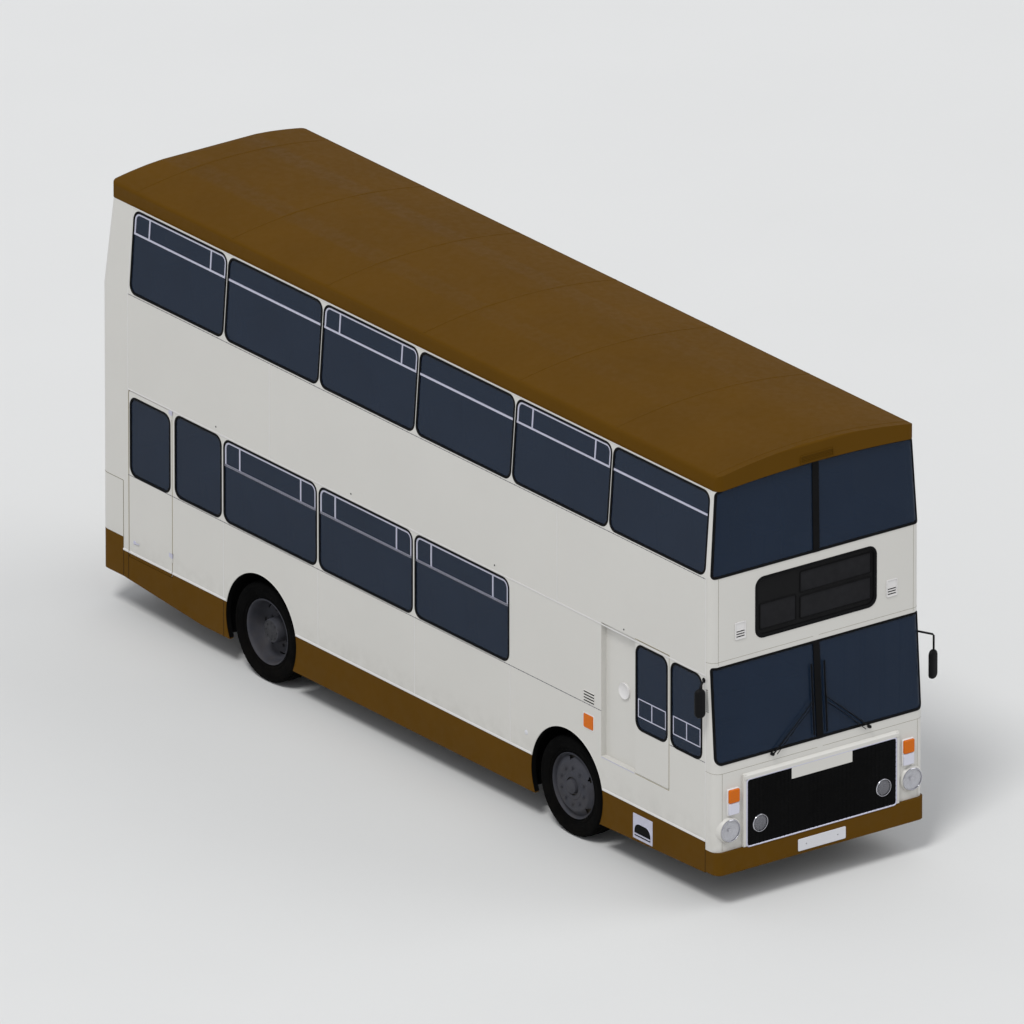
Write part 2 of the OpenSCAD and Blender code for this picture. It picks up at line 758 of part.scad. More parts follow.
module staircase() {
    color(grey) {
        // folded treads and risers
        for (k = [0:7]) {
            y = stair_start_y + k * tread;
            z = lower_floor_z + (k + 1) * riser;
            box(stair_out_x, stair_in_x, y, y + tread + stair_t, z - stair_t, z);
            box(stair_out_x, stair_in_x, y, y + stair_t, k == 0 ? lower_floor_z : z - riser - stair_t, z);
        }
        box(stair_out_x, stair_in_x, stair_end_y, stair_end_y + stair_t, upper_floor_z - riser - stair_t,
            upper_floor_z - upper_floor_t);
        // balustrade on the aisle side
        side_plate(stair_in_x, stair_in_x + stair_t) polygon([
            [stair_start_y, lower_floor_z], [stair_end_y + stair_t, lower_floor_z],
            [stair_end_y + stair_t, upper_floor_z - upper_floor_t],
            [stair_end_y, upper_floor_z - upper_floor_t], [stair_end_y, upper_floor_z + 60],
            [stair_start_y, lower_floor_z + riser + 300]]);
    }
}

module cab_partition() {
    color(cream) {
        box(-in_x + 40, cover_x0 + cover_t, platform_y, platform_y + cover_t, lower_floor_z, upper_floor_z - upper_floor_t);
    }
}

module engine_cover() {
    color(grey) difference() {
        box(cover_x0, cover_x1, cabin_y + 10, platform_y, step_z - 30, cover_z);
        box(cover_x0 + cover_t, cover_x1 - cover_t, cabin_y + 10 + cover_t, platform_y - cover_t, step_z - 31,
            cover_z - cover_t);
        box(cover_x0 + cover_t, cover_x1 - cover_t, cabin_y, platform_y + 1, step_z - 31, rail_top_z + 30);
        box(cover_x0 - 1, 0, cabin_y, platform_y + 1, step_z - 31, cab_floor_z - 60);
    }
}

module cab_floor() {
    color(grey) box(-in_x, cover_x0, cabin_y, platform_y, cab_floor_z - 40, cab_floor_z);
}

module dashboard() {
    color(black) {
        side_plate(-in_x + 20, cover_x0 - 10) polygon([[cabin_y + 10, cab_floor_z], [cabin_y + 140, cab_floor_z],
            [cabin_y + 150, 1350], [cabin_y + 290, 1420], [cabin_y + 270, 1470], [cabin_y + 10, 1490]]);
    }
}

wheel_c = [-810, cabin_y + 400, 1640];
column_a = 14;

module steering_wheel() {
    color(black) {
        translate(wheel_c) rotate([-column_a, 0, 0]) {
            rotate_extrude() translate([230, 0]) circle(15, $fn = 24);
            cylinder(h = 30, r = 55);
            for (a = [0:120:240]) rotate([0, 0, a + 30]) translate([0, -14, 5]) cube([228, 28, 12]);
        }
        intersection() {
            translate(wheel_c) rotate([-column_a, 0, 0]) translate([0, 0, -800]) cylinder(h = 810, r = 28);
            box(-half_w, 0, cabin_y, platform_y, cab_floor_z, deck_z);
        }
    }
}

// Bench section: cushion and back, facing the front
module bench_shape(z) {
    translate([0, z]) polygon([[-230, 355], [-230, 450], [180, 430], [250, 960], [320, 960], [245, 345]]);
}

module bench(y, z, x0, x1, leg_x) {
    side_plate(x0, x1) translate([y, 0]) bench_shape(z);
    box(leg_x, leg_x + 40, y - 120, y + 120, z, z + 360);
}

module driver_seat() {
    color(black) translate([wheel_c.x, wheel_c.y + 560, cab_floor_z]) {
        side_plate(-240, 240) translate([90, 0]) bench_shape(0);
        box(-150, 150, -150, 150, 0, 460);
    }
}

module lower_deck_seats() {
    color(cloth) {
        for (k = [0:9]) bench(stair_y0 + 330 + k * seat_pitch, lower_floor_z, seat_in_x, in_x, seat_in_x + 60);
        for (k = [0:6]) bench(lower_first_y + 330 + k * seat_pitch, lower_floor_z, -in_x, -seat_in_x,
            -seat_in_x - 100);
    }
}

module upper_deck_seats() {
    color(cloth) {
        out_x = roof_half_w - wall_t - 5;
        for (k = [0:11]) bench(corner_y + 620 + k * seat_pitch, upper_floor_z, seat_in_x, out_x, seat_in_x + 60);
        for (k = [0, 5, 6, 7, 8, 9, 10, 11]) bench(corner_y + 620 + k * seat_pitch, upper_floor_z, -out_x,
            -seat_in_x, -seat_in_x - 100);
    }
}

// ---- running gear ----

front_rail_x = [-400, 125];
tow_z = 480;

// Towing lugs at the given x that reach from y0 to y1
module tow_lugs(xs, y0, y1) {
    for (x = xs) difference() {
        box(x - 45, x + 45, y0, y1, tow_z - 15, tow_z + 15);
        barrel(x, (y0 + y1) / 2, tow_z - 16, tow_z + 16, tow_r);
    }
}

cross_ys = [front_axle_y - 650, front_axle_y + 700, 0, rear_axle_y - 750, rear_axle_y + 750, rear_plane_y - 290];
outrigger_ys = [front_axle_y + 780, 0, rear_axle_y - 780, rear_axle_y + 780];
rail_in = rail_x - rail_w / 2;
rail_out = rail_x + rail_w / 2;
main_rail_y = cross_ys[0] - 40;
end_beam_half = rail_x + 400;

// Every rail, crossmember and outrigger meets the next face to face
module chassis_frame() {
    color(black) {
        for (s = [-1, 1]) {
            box(min(s * rail_in, s * rail_out), max(s * rail_in, s * rail_out), main_rail_y,
                rear_plane_y - 240 - glass_gap, rail_z, rail_top_z);
            for (y = outrigger_ys)
                box(min(s * (rail_out + glass_gap), s * in_x), max(s * (rail_out + glass_gap), s * in_x), y - 30, y + 30,
                    rail_top_z - 60, rail_top_z);
        }
        for (x = front_rail_x) box(x - rail_w / 2, x + rail_w / 2, corner_y + 80 + glass_gap, main_rail_y - glass_gap,
            rail_z, rail_top_z);
        for (y = cross_ys) box(-rail_in + glass_gap, rail_in - glass_gap, y - 40, y + 40, rail_top_z - 70, rail_top_z);
        box(-end_beam_half, cover_x1 - cover_t, corner_y + 20, corner_y + 80, bumper_z + 80, rail_top_z);
        box(-end_beam_half, end_beam_half, rear_plane_y - 240, rear_plane_y - 190, rear_bumper_z + 80, rail_top_z);
        tow_lugs(front_rail_x, corner_y - 70, corner_y + 20 - glass_gap);
        tow_lugs([-rail_x, rail_x], rear_plane_y - 190 + glass_gap, rear_plane_y - 100);
    }
}

module engine() {
    color(steel) {
        box(engine_x0, engine_x1, corner_y + 180, platform_y - 120, 470, 1280);
        box(engine_x0 + 90, engine_x1 - 90, platform_y - 120, platform_y + 350, 470, 800 - 90);
    }
}

shaft_gap = 1.8;
gear_p = [(engine_x0 + engine_x1) / 2, platform_y + 350 + shaft_gap, 590];
diff_p = [0, rear_axle_y - 200 - shaft_gap, tyre_r];

module propeller_shaft() {
    color(steel) rod(gear_p, diff_p, 45);
}

beam_z = tyre_r - 55;
beam_top_z = tyre_r + 10;
spring_seat_z = tyre_r - 80;

module front_axle_beam() {
    color(black) {
        for (s = [-1, 1]) {
            barrel(s * kingpin_x, front_axle_y, tyre_r - 55, tyre_r + 55, 48);
            barrel(s * kingpin_x, front_axle_y, tyre_r - 110, tyre_r + 110, kingpin_r);
        }
        box(-kingpin_x + 30, kingpin_x - 30, front_axle_y - 45, front_axle_y + 45, beam_z, beam_top_z);
    }
}

module rear_axle() {
    color(black) {
        shaft(-800 + 110, 800 - 110, rear_axle_y, tyre_r, 72);
        shaft(-track_x - 60, track_x + 60, rear_axle_y, tyre_r, rear_stub_r);
        translate([0, rear_axle_y, tyre_r]) rotate([90, 0, 0]) cylinder(h = 300, r = 190, center = true);
        translate([0, rear_axle_y, tyre_r]) rotate([90, 0, 0]) translate([0, 0, 100]) cylinder(h = 100, r = 60);
        for (s = [-1, 1]) box(s * rail_x - 35, s * rail_x + 35, rear_axle_y - 60, rear_axle_y + 60, spring_seat_z, tyre_r);
    }
}

// Leaf spring under a rail: its middle is at height z, and its ends reach the rail
module spring(x, y, z, arch, half_l) {
    side_plate(x - 32, x + 32) {
        polygon(concat([for (k = [-8:8]) [y + half_l * k / 8, z + arch * pow(k / 8, 2)]],
            [for (k = [8:-1:-8]) [y + half_l * k / 8, z + arch * pow(k / 8, 2) + 45 - 25 * abs(k) / 8]]));
        for (s = [-1, 1]) translate([y + s * half_l - (s > 0 ? 60 : 0), z + arch]) square([60, rail_z - z - arch]);
    }
}

module leaf_springs() {
    color(steel) for (s = [-1, 1]) {
        spring(s * rail_x, front_axle_y, beam_top_z, 40, 600);
        spring(s * rail_x, rear_axle_y, spring_seat_z - 45, 60, 650);
    }
}

module fuel_tank() {
    color(black) side_plate(-rail_x - rail_w / 2 - 560, -rail_x - rail_w / 2)
        rounded(rear_axle_y - 2213, 360, rear_axle_y - 1113, rail_top_z - 80, 60);
}

exhaust_x = 520;
exhaust_z = 690;

module exhaust() {
    color(steel) {
        rod([exhaust_x, platform_y + 300, exhaust_z], [exhaust_x, rear_plane_y - 300, exhaust_z], 35);
        rod([exhaust_x + 50, front_axle_y + 900, 590], [exhaust_x + 50, front_axle_y + 1900, 590], 130);
        for (y = [front_axle_y + 780, 600, rear_axle_y + 900])
            box(rail_x + rail_w / 2, exhaust_x, y - 20, y + 20, exhaust_z - 15, exhaust_z + 15);
    }
}

// ---- wheels, drawn on +X around their own axis, then placed ----

module place_wheel(side, y) {
    translate([0, y, tyre_r]) mirror([side < 0 ? 1 : 0, 0, 0]) rotate([0, 90, 0]) children();
}

module tyre_ring(x) {
    b = bead_w / 2;
    h = tyre_w / 2;
    translate([0, 0, x]) rotate_extrude($fn = 96) polygon([
        [seat_r + 0.3, -b], [rim_r + 2, -b], [rim_r + 16, -b - 18], [tyre_r - 80, -h], [tyre_r - 20, -h + 15],
        [tyre_r, -h + 40], [tyre_r, h - 40], [tyre_r - 20, h - 15], [tyre_r - 80, h], [rim_r + 16, b + 18],
        [rim_r + 2, b], [seat_r + 0.3, b]]);
}

// Rim barrel with flanges, and a disc from z0 to z1 along its axis
module rim_ring(x, disc0, disc1) {
    b = bead_w / 2;
    translate([0, 0, x]) rotate_extrude($fn = 96) polygon([
        [seat_r - 18, -b - 12], [rim_r, -b - 12], [rim_r, -b - 0.3], [seat_r, -b - 0.3], [seat_r, b + 0.3],
        [rim_r, b + 0.3], [rim_r, b + 12], [seat_r - 18, b + 12]]);
    translate([0, 0, x + disc0]) cylinder(h = disc1 - disc0, r = seat_r - 10, $fn = 96);
}

module front_rim() {
    difference() {
        union() {
            rim_ring(track_x, bead_w / 2 - 7, bead_w / 2 + 7);
            translate([0, 0, track_x - 60]) cylinder(h = 60 + bead_w / 2 + 40, r = 85);
        }
        translate([0, 0, track_x - 61]) cylinder(h = 61 + bead_w / 2 + 10, r = stub_r + running);
    }
}

module rear_rims() {
    x1 = track_x - twin_gap;
    difference() {
        union() {
            rim_ring(track_x, -bead_w / 2 - 5, -bead_w / 2 + 12);
            rim_ring(x1, bead_w / 2 - 12, bead_w / 2 + 5);
            translate([0, 0, x1 - 40]) cylinder(h = twin_gap + 40 + bead_w / 2 + 50, r = 110);
        }
        translate([0, 0, x1 - 41]) cylinder(h = track_x + 66 - x1 + 41, r = rear_stub_r + running);
    }
}

module offside_front_rim() {
    color(grey) place_wheel(-1, front_axle_y) front_rim();
}

module nearside_front_rim() {
    color(grey) place_wheel(1, front_axle_y) front_rim();
}

module offside_rear_rims() {
    color(grey) place_wheel(-1, rear_axle_y) rear_rims();
}

module nearside_rear_rims() {
    color(grey) place_wheel(1, rear_axle_y) rear_rims();
}

module offside_front_tyre() {
    color(black) place_wheel(-1, front_axle_y) tyre_ring(track_x);
}

module nearside_front_tyre() {
    color(black) place_wheel(1, front_axle_y) tyre_ring(track_x);
}

module twin_tyres() {
    tyre_ring(track_x);
    tyre_ring(track_x - twin_gap);
}

module offside_rear_tyres() {
    color(black) place_wheel(-1, rear_axle_y) twin_tyres();
}

module nearside_rear_tyres() {
    color(black) place_wheel(1, rear_axle_y) twin_tyres();
}

// Knuckle on +X: two ears round the kingpin, a yoke and the stub axle
module knuckle() {
    translate([0, front_axle_y, tyre_r]) difference() {
        union() {
            for (z = [-110, 55 + hinge_gap]) translate([kingpin_x, 0, z])
                cylinder(h = 55 - hinge_gap, r = 48);
            for (z = [-110, 55 + hinge_gap]) box(kingpin_x, kingpin_x + 85, -45, 45, z, z + 55 - hinge_gap);
            box(kingpin_x + 60, kingpin_x + 85, -45, 45, -110, 110);
            shaft(kingpin_x + 70, track_x + bead_w / 2, 0, 0, stub_r);
        }
        translate([kingpin_x, 0, -111]) cylinder(h = 222, r = kingpin_r + running);
    }
}

module offside_knuckle() {
    color(steel) mirror([1, 0, 0]) knuckle();
}

module nearside_knuckle() {
    color(steel) knuckle();
}

// ---- doors ----

module cab_door() {
    g = door_gap;
    color(cream) {
        difference() {
            side_plate(-half_w, -in_x) translate([cab_door_y0 + g, cab_door_z + g])
                square([cab_door_l - g - 2, cab_door_top_z - cab_door_z - g]);
            side_plate(-half_w - 1, -in_x + 1)
                window_shape(cab_door_y0 + 30, cab_door_y1 - 20, cab_win_z, lower_head_z);
        }
        for (y = [cab_door_y0 + 60, cab_door_y1 - 100])
            box(-half_w + 15, -in_x - 5, y, y + 40, cab_door_z + hinge_gap, cab_door_z + g + 1);
    }
    color(glass) side_plate(-half_w + 6, -half_w + 6 + glass_t)
        window_shape(cab_door_y0 + 30, cab_door_y1 - 20, cab_win_z, lower_head_z, glass_gap);
}

module emergency_door() {
    color(cream) {
        difference() {
            side_plate(-half_w, -in_x) translate([exit_y0, exit_z]) square([exit_l, exit_top_z - exit_z]);
            side_plate(-half_w - 1, -in_x + 1)
                window_shape(exit_y0 + 30, exit_y1 - 24, lower_sill_z - 10, exit_top_z - 56);
            for (z = exit_hinges) barrel(exit_hinge_x, exit_hinge_y, z - 5, z + hinge_h + hinge_gap, hinge_r + 5);
        }
        for (z = exit_hinges)
            barrel(exit_hinge_x, exit_hinge_y, z + hinge_h + hinge_gap, z + 2 * hinge_h, hinge_r);
    }
    color(glass) side_plate(-half_w + 6, -half_w + 6 + glass_t)
        window_shape(exit_y0 + 30, exit_y1 - 24, lower_sill_z - 10, exit_top_z - 56, glass_gap);
}

// Entrance leaves. Each pair folds inwards: the outer leaf turns at the jamb,
// and the fold is hinged to it on the plane of the leaves' outer faces.
jamb_gap = 10;
meet_gap = 12;
leaf_z0 = step_z + 10;
leaf_z1 = entrance_top_z - 10;
pivot_in = 30;
leaf_l = (entrance_l - 2 * jamb_gap - meet_gap) / 4;
fold_gap = 3;
fold_hinges = [leaf_z0 + 200, (leaf_z0 + leaf_z1) / 2, leaf_z1 - 300];
leaf_x0 = half_w - leaf_t;

// A leaf between two lengths from the jamb, drawn with the jamb at y = 0 and the middle at +y
module leaf_panel(y0, y1) {
    color(black) difference() {
        box(leaf_x0, half_w, y0, y1, leaf_z0, leaf_z1);
        side_plate(leaf_x0 - 1, half_w + 1) rounded(y0 + 35, leaf_z0 + 60, y1 - 35, leaf_z1 - 60, 40);
    }
    color(glass) side_plate(leaf_x0 + 10, leaf_x0 + 10 + glass_t)
        rounded(y0 + 35 + glass_gap, leaf_z0 + 60 + glass_gap, y1 - 35 - glass_gap, leaf_z1 - 60 - glass_gap,
            40 - glass_gap);
}

module jamb_leaf() {
    mid = jamb_gap + leaf_l;
    difference() {
        leaf_panel(jamb_gap, mid - fold_gap);
        for (z = fold_hinges) barrel(half_w, mid, z + hinge_h, z + 2 * hinge_h + 5, hinge_r + 5);
    }
    color(black) {
        for (z = fold_hinges) barrel(half_w, mid, z, z + hinge_h, hinge_r);
        barrel(half_w - leaf_t / 2, jamb_gap + pivot_in, step_z + hinge_gap, leaf_z0 + 1, 12);
        barrel(half_w - leaf_t / 2, jamb_gap + pivot_in, leaf_z1 - 1, entrance_top_z - hinge_gap, 12);
    }
}

module fold_leaf() {
    mid = jamb_gap + leaf_l;
    difference() {
        leaf_panel(mid + fold_gap, mid + leaf_l);
        for (z = fold_hinges) barrel(half_w, mid, z - 5, z + hinge_h + hinge_gap, hinge_r + 5);
    }
    color(black) for (z = fold_hinges) barrel(half_w, mid, z + hinge_h + hinge_gap, z + 2 * hinge_h, hinge_r);
}

module at_front_jamb() {
    translate([0, entrance_y0, 0]) children();
}

module at_rear_jamb() {
    translate([0, entrance_y1, 0]) mirror([0, 1, 0]) children();
}

module entrance_front_leaf() {
    at_front_jamb() jamb_leaf();
}

module entrance_front_fold() {
    at_front_jamb() fold_leaf();
}

module entrance_rear_leaf() {
    at_rear_jamb() jamb_leaf();
}

module entrance_rear_fold() {
    at_rear_jamb() fold_leaf();
}

offside_lower_side();
nearside_lower_side();
offside_upper_side();
nearside_upper_side();
side_skirts();
roof();
front_moulding();
front_lower_panel();
radiator_grille();
front_bumper();
rear_panel();
rear_bumper();
windscreens();
saloon_windows();
destination_box();
lamps();
number_plates();
mirrors();
wipers();
wheel_arches();
lower_deck_floor();
upper_deck_floor();
staircase();
cab_partition();
cab_floor();
engine_cover();
dashboard();
steering_wheel();
driver_seat();
lower_deck_seats();
upper_deck_seats();
chassis_frame();
engine();
propeller_shaft();
front_axle_beam();
rear_axle();
leaf_springs();
fuel_tank();
exhaust();
offside_knuckle();
nearside_knuckle();
offside_front_rim();
nearside_front_rim();
offside_rear_rims();
nearside_rear_rims();
offside_front_tyre();
nearside_front_tyre();
offside_rear_tyres();
nearside_rear_tyres();
cab_door();
emergency_door();
rear_exit_window();
entrance_front_leaf();
entrance_front_fold();
entrance_rear_leaf();
entrance_rear_fold();
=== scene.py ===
"""Looks of a double decker bus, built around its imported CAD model. Metres; -Y is the front, -X the driver's side."""

import math

import bmesh
import bpy
from mathutils import Matrix, Vector


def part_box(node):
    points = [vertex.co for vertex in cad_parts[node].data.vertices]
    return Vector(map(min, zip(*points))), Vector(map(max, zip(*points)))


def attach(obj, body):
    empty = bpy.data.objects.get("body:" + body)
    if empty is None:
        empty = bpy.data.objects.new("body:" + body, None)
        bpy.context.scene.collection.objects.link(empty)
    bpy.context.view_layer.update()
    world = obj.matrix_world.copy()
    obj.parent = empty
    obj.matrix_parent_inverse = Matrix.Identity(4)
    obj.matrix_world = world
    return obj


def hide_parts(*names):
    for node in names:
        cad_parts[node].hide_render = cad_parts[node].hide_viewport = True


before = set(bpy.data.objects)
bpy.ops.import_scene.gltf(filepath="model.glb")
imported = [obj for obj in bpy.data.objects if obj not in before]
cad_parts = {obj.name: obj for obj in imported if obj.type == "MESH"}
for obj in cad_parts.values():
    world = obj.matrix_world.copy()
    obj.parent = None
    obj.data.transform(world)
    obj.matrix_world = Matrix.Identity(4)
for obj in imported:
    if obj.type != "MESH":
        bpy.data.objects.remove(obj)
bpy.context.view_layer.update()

# ---------------------------------------------------------------- sizes taken from the CAD model

HALF_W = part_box("side_skirts")[1].x
WAIST_Z, CANT_Z = 3.380, 4.280                      # where the upper sides start to lean in, and the roof's edge
ROOF_HALF_W, ROOF_CROWN = 1.195, 0.110
ROOF_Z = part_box("roof")[1].z
CORNER_R, REAR_CORNER_R = 0.085, 0.100
DASH_Y, BAND_Y = -4.955, -4.885                     # the front's face under and over the raked lower screen
CORNER_Y, TAIL_Y = (v.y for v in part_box("offside_upper_side"))
REAR_Y, REAR_LEAN = 4.985, 0.073
DASH_TOP, BAND_LOW, BAND_TOP = 1.498, 2.468, 3.403
SCREEN_TOP, SCREEN_LEAN = 4.330, 0.020
SCREEN_BEND = 0.55                                  # the share of the corner's bend that the screens reach round
POST_HALF = 0.035
LOWER_FLOOR, UPPER_FLOOR, CAB_FLOOR = 0.880, 2.730, 1.000
DRIVER_X = -0.810
WIN_R = 0.090

FRONT_AXLE, REAR_AXLE = -2.590, 2.363
TYRE_R, TYRE_HALF_W, RIM_R = 0.510, 0.140, 0.334
TRACK_X, INNER_X = 1.075, 0.755
ARCH_R, ARCH_Z = 0.577, 0.546

OFFSIDE, NEARSIDE = -1, 1
SIDES = {"offside": OFFSIDE, "nearside": NEARSIDE}


def bays(start, pitch, width, count, sill, head):
    """A row of equal windows, each as (y0, y1, z0, z1)."""
    return [(start + pitch * k, start + pitch * k + width, sill, head) for k in range(count)]


LOWER_SILL, LOWER_HEAD = 1.510, 2.360
UPPER_WINDOWS = bays(-4.775, 1.552, 1.517, 6, 3.410, 4.250)
MAIN_WINDOWS = bays(-1.652, 1.554, 1.507, 3, LOWER_SILL, LOWER_HEAD)
OFFSIDE_REAR_WINDOW = (3.010, 3.762, LOWER_SILL, LOWER_HEAD)
NEARSIDE_WINDOWS = [(-3.203, -1.699, LOWER_SILL, LOWER_HEAD), (3.010, 4.507, LOWER_SILL, LOWER_HEAD)]
QUARTER_WINDOW = (-4.735, -4.248, 1.490, LOWER_HEAD)
CAB_DOOR = (-4.211, -3.674, 1.021, 2.400)
CAB_DOOR_WINDOW = (-4.185, -3.692, 1.490, LOWER_HEAD)
EXIT_DOOR = (3.819, 4.522, 0.633, 2.373)
EXIT_DOOR_WINDOW = (3.849, 4.498, 1.500, 2.317)
REAR_WINDOW = (-0.850, 0.850, LOWER_SILL, LOWER_HEAD)
EXIT_WINDOW = (-0.560, 0.560, WAIST_Z + 0.060, WAIST_Z + 0.830)
DEST = (-0.722, 0.722, 2.671, 3.283)
GRILLE = (-0.900, 0.900, 0.590, 1.283)
GRILLE_Y = -4.985
TAB_HALF, TAB_H = 0.366, 0.120                      # the body-coloured tab over the middle of the grille

# ---------------------------------------------------------------- sizes of the trim

TRIM_END = 4.535                                    # the upright joint ahead of the rear corner
SKIRT_TOP, STRIP_TOP = 0.667, 0.691                 # under and over the rubbing strip
RUBBING_STRIP = [(0.0, SKIRT_TOP), (0.006, 0.670), (0.008, 0.679), (0.006, 0.688), (0.0, STRIP_TOP)]
NOSE_SEAM_Z, WAIST_SEAM_Z = 1.400, 1.487
SEAM_HALF = 0.0022
DRIP_LOW, DRIP_TOP = 2.382, 2.394
CANTRAIL_LOW, CANTRAIL_TOP = 4.276, 4.285
COVER_HALF, COVER_OUT = 0.004, 0.0016               # the cover strips on the upright joints
KNUCKLE_R, KNUCKLE_H = 0.010, 0.0447                # the doors' hinge knuckles
RAIL_X, RAIL_R = 0.362, 0.016                       # the poles beside the aisle


# ---------------------------------------------------------------- materials

def srgb(r, g, b):
    """A colour given as 0-255 display values, as linear light."""
    def linear(c):
        c /= 255
        return c / 12.92 if c <= 0.04045 else ((c + 0.055) / 1.055) ** 2.4
    return (linear(r), linear(g), linear(b), 1.0)


def scaled(colour, k):
    return (*(min(1.0, c * k) for c in colour[:3]), 1.0)


DUST = srgb(96, 84, 66)


class Nodes:
    """A short way to add and wire shader nodes."""

    def __init__(self, name):
        self.mat = bpy.data.materials.new(name)
        self.mat.use_nodes = True
        self.tree = self.mat.node_tree
        self.shader = self.tree.nodes["Principled BSDF"]
        self.coords = self.add("ShaderNodeTexCoord").outputs["Object"]

    def add(self, kind, **inputs):
        node = self.tree.nodes.new(kind)
        for key, value in inputs.items():
            self.put(node.inputs[key.replace("_", " ")], value)
        return node

    def put(self, socket, value):
        if isinstance(value, bpy.types.NodeSocket):
            self.tree.links.new(value, socket)
        else:
            socket.default_value = value

    def noise(self, scale, detail=3.0, vector=None):
        node = self.add("ShaderNodeTexNoise", Scale=scale, Detail=detail)
        self.put(node.inputs["Vector"], vector or self.coords)
        return node.outputs["Fac"]

    def remap(self, value, lo, hi, to_lo=0.0, to_hi=1.0):
        node = self.add("ShaderNodeMapRange", Value=value, From_Min=lo, From_Max=hi, To_Min=to_lo, To_Max=to_hi)
        return node.outputs["Result"]

    def mix(self, factor, a, b, blend="MIX"):
        node = self.add("ShaderNodeMix")
        node.data_type, node.blend_type = "RGBA", blend
        self.put(node.inputs[0], factor)
        self.put(node.inputs[6], a)
        self.put(node.inputs[7], b)
        return node.outputs[2]

    def math(self, op, a, b=0.0):
        node = self.add("ShaderNodeMath")
        node.operation = op
        self.put(node.inputs[0], a)
        self.put(node.inputs[1], b)
        return node.outputs[0]

    def axis(self, name):
        return self.add("ShaderNodeSeparateXYZ", Vector=self.coords).outputs[name]

    def bump(self, height, strength, distance=0.002):
        node = self.add("ShaderNodeBump", Strength=strength, Distance=distance, Height=height)
        self.put(self.shader.inputs["Normal"], node.outputs["Normal"])

    def set(self, **inputs):
        for key, value in inputs.items():
            self.put(self.shader.inputs[key.replace("_", " ")], value)
        return self


def finish(name, rgb, rough=0.5, metallic=0.0, vary=0.06, patch=2.5, grain=0.08, grain_scale=500.0, dirt=0.0,
           dirt_top=0.95, spec=0.5, **sockets):
    """A plain finish: patchy colour, uneven gloss, a fine grain, and dust that thins out upwards."""
    n, colour = Nodes(name), srgb(*rgb)
    cloud = n.noise(patch, 4.0)
    base = n.mix(n.remap(cloud, 0.3, 0.7), scaled(colour, 1 - vary), scaled(colour, 1 + vary))
    if dirt:
        low = n.remap(n.axis("Z"), 0.25, dirt_top, dirt, 0.0)
        base = n.mix(n.math("MULTIPLY", low, n.remap(n.noise(9.0, 5.0), 0.35, 0.65)), base, DUST)
    gloss = n.remap(n.noise(14.0, 3.0), 0.3, 0.7, rough - 0.06, rough + 0.06)
    n.set(Base_Color=base, Metallic=metallic, Roughness=gloss)
    n.bump(n.noise(grain_scale, 2.0), grain)
    return n.set(Specular_IOR_Level=spec, **sockets).mat


def make_glass(name, rgb, alpha):
    n, colour = Nodes(name), srgb(*rgb)
    smear = n.noise(2.2, 4.0)
    n.set(Base_Color=n.mix(smear, scaled(colour, 0.9), scaled(colour, 1.15)), Alpha=alpha, Specular_IOR_Level=0.15,
          Roughness=n.remap(smear, 0.3, 0.7, 0.10, 0.20))
    n.bump(n.noise(3.0, 2.0), 0.02, 0.01)
    return n.mat


def make_lens(name, rgb, rib=260.0, rough=0.18, **sockets):
    """Moulded lamp plastic or glass with fine upright ribs; its colour is darkened in the rib troughs as painted
    shade.
    """
    n, colour = Nodes(name), srgb(*rgb)
    ribs = n.add("ShaderNodeTexWave", Vector=n.coords, Scale=rib / math.tau, Distortion=0.4)
    # Painted shade: the colour drops to 78% in the rib troughs, following the same wave as the bump.
    base = n.mix(n.remap(ribs.outputs["Fac"], 0, 1), scaled(colour, 0.78), colour)
    n.set(Base_Color=base, Roughness=rough, Coat_Weight=0.6)
    n.bump(ribs.outputs["Fac"], 0.35, 0.002)
    return n.set(**sockets).mat


def make_moquette(name):
    """Woven seat cloth: crossed ribs of warp and weft with a small two-tone check."""
    n = Nodes(name)
    warp = n.add("ShaderNodeTexWave", Vector=n.coords, Scale=55.0, Distortion=0.6)
    weft = n.add("ShaderNodeTexWave", Vector=n.coords, Scale=55.0, Distortion=0.6)
    weft.bands_direction = "Z"
    check = n.add("ShaderNodeTexChecker", Vector=n.coords, Scale=36.0)
    check.inputs["Color1"].default_value = srgb(134, 74, 34)
    check.inputs["Color2"].default_value = srgb(82, 46, 26)
    thread = n.math("MULTIPLY", warp.outputs["Fac"], weft.outputs["Fac"])
    base = n.mix(n.remap(thread, 0, 1, 0.0, 0.45), check.outputs["Color"], srgb(190, 132, 66))
    worn = n.mix(n.remap(n.noise(5.0, 4.0), 0.4, 0.75, 0.0, 0.3), base, srgb(120, 98, 78))
    n.set(Base_Color=worn, Roughness=0.92, Sheen_Weight=0.35)
    n.bump(thread, 0.5, 0.0015)
    return n.mat


def make_tread_floor(name):
    n = Nodes(name)
    ribs = n.add("ShaderNodeTexWave", Vector=n.coords, Scale=16.0)
    n.set(Base_Color=n.mix(n.noise(6.0, 5.0), srgb(64, 60, 56), srgb(92, 86, 78)), Roughness=0.8)
    n.bump(ribs.outputs["Fac"], 0.3, 0.002)
    return n.mat


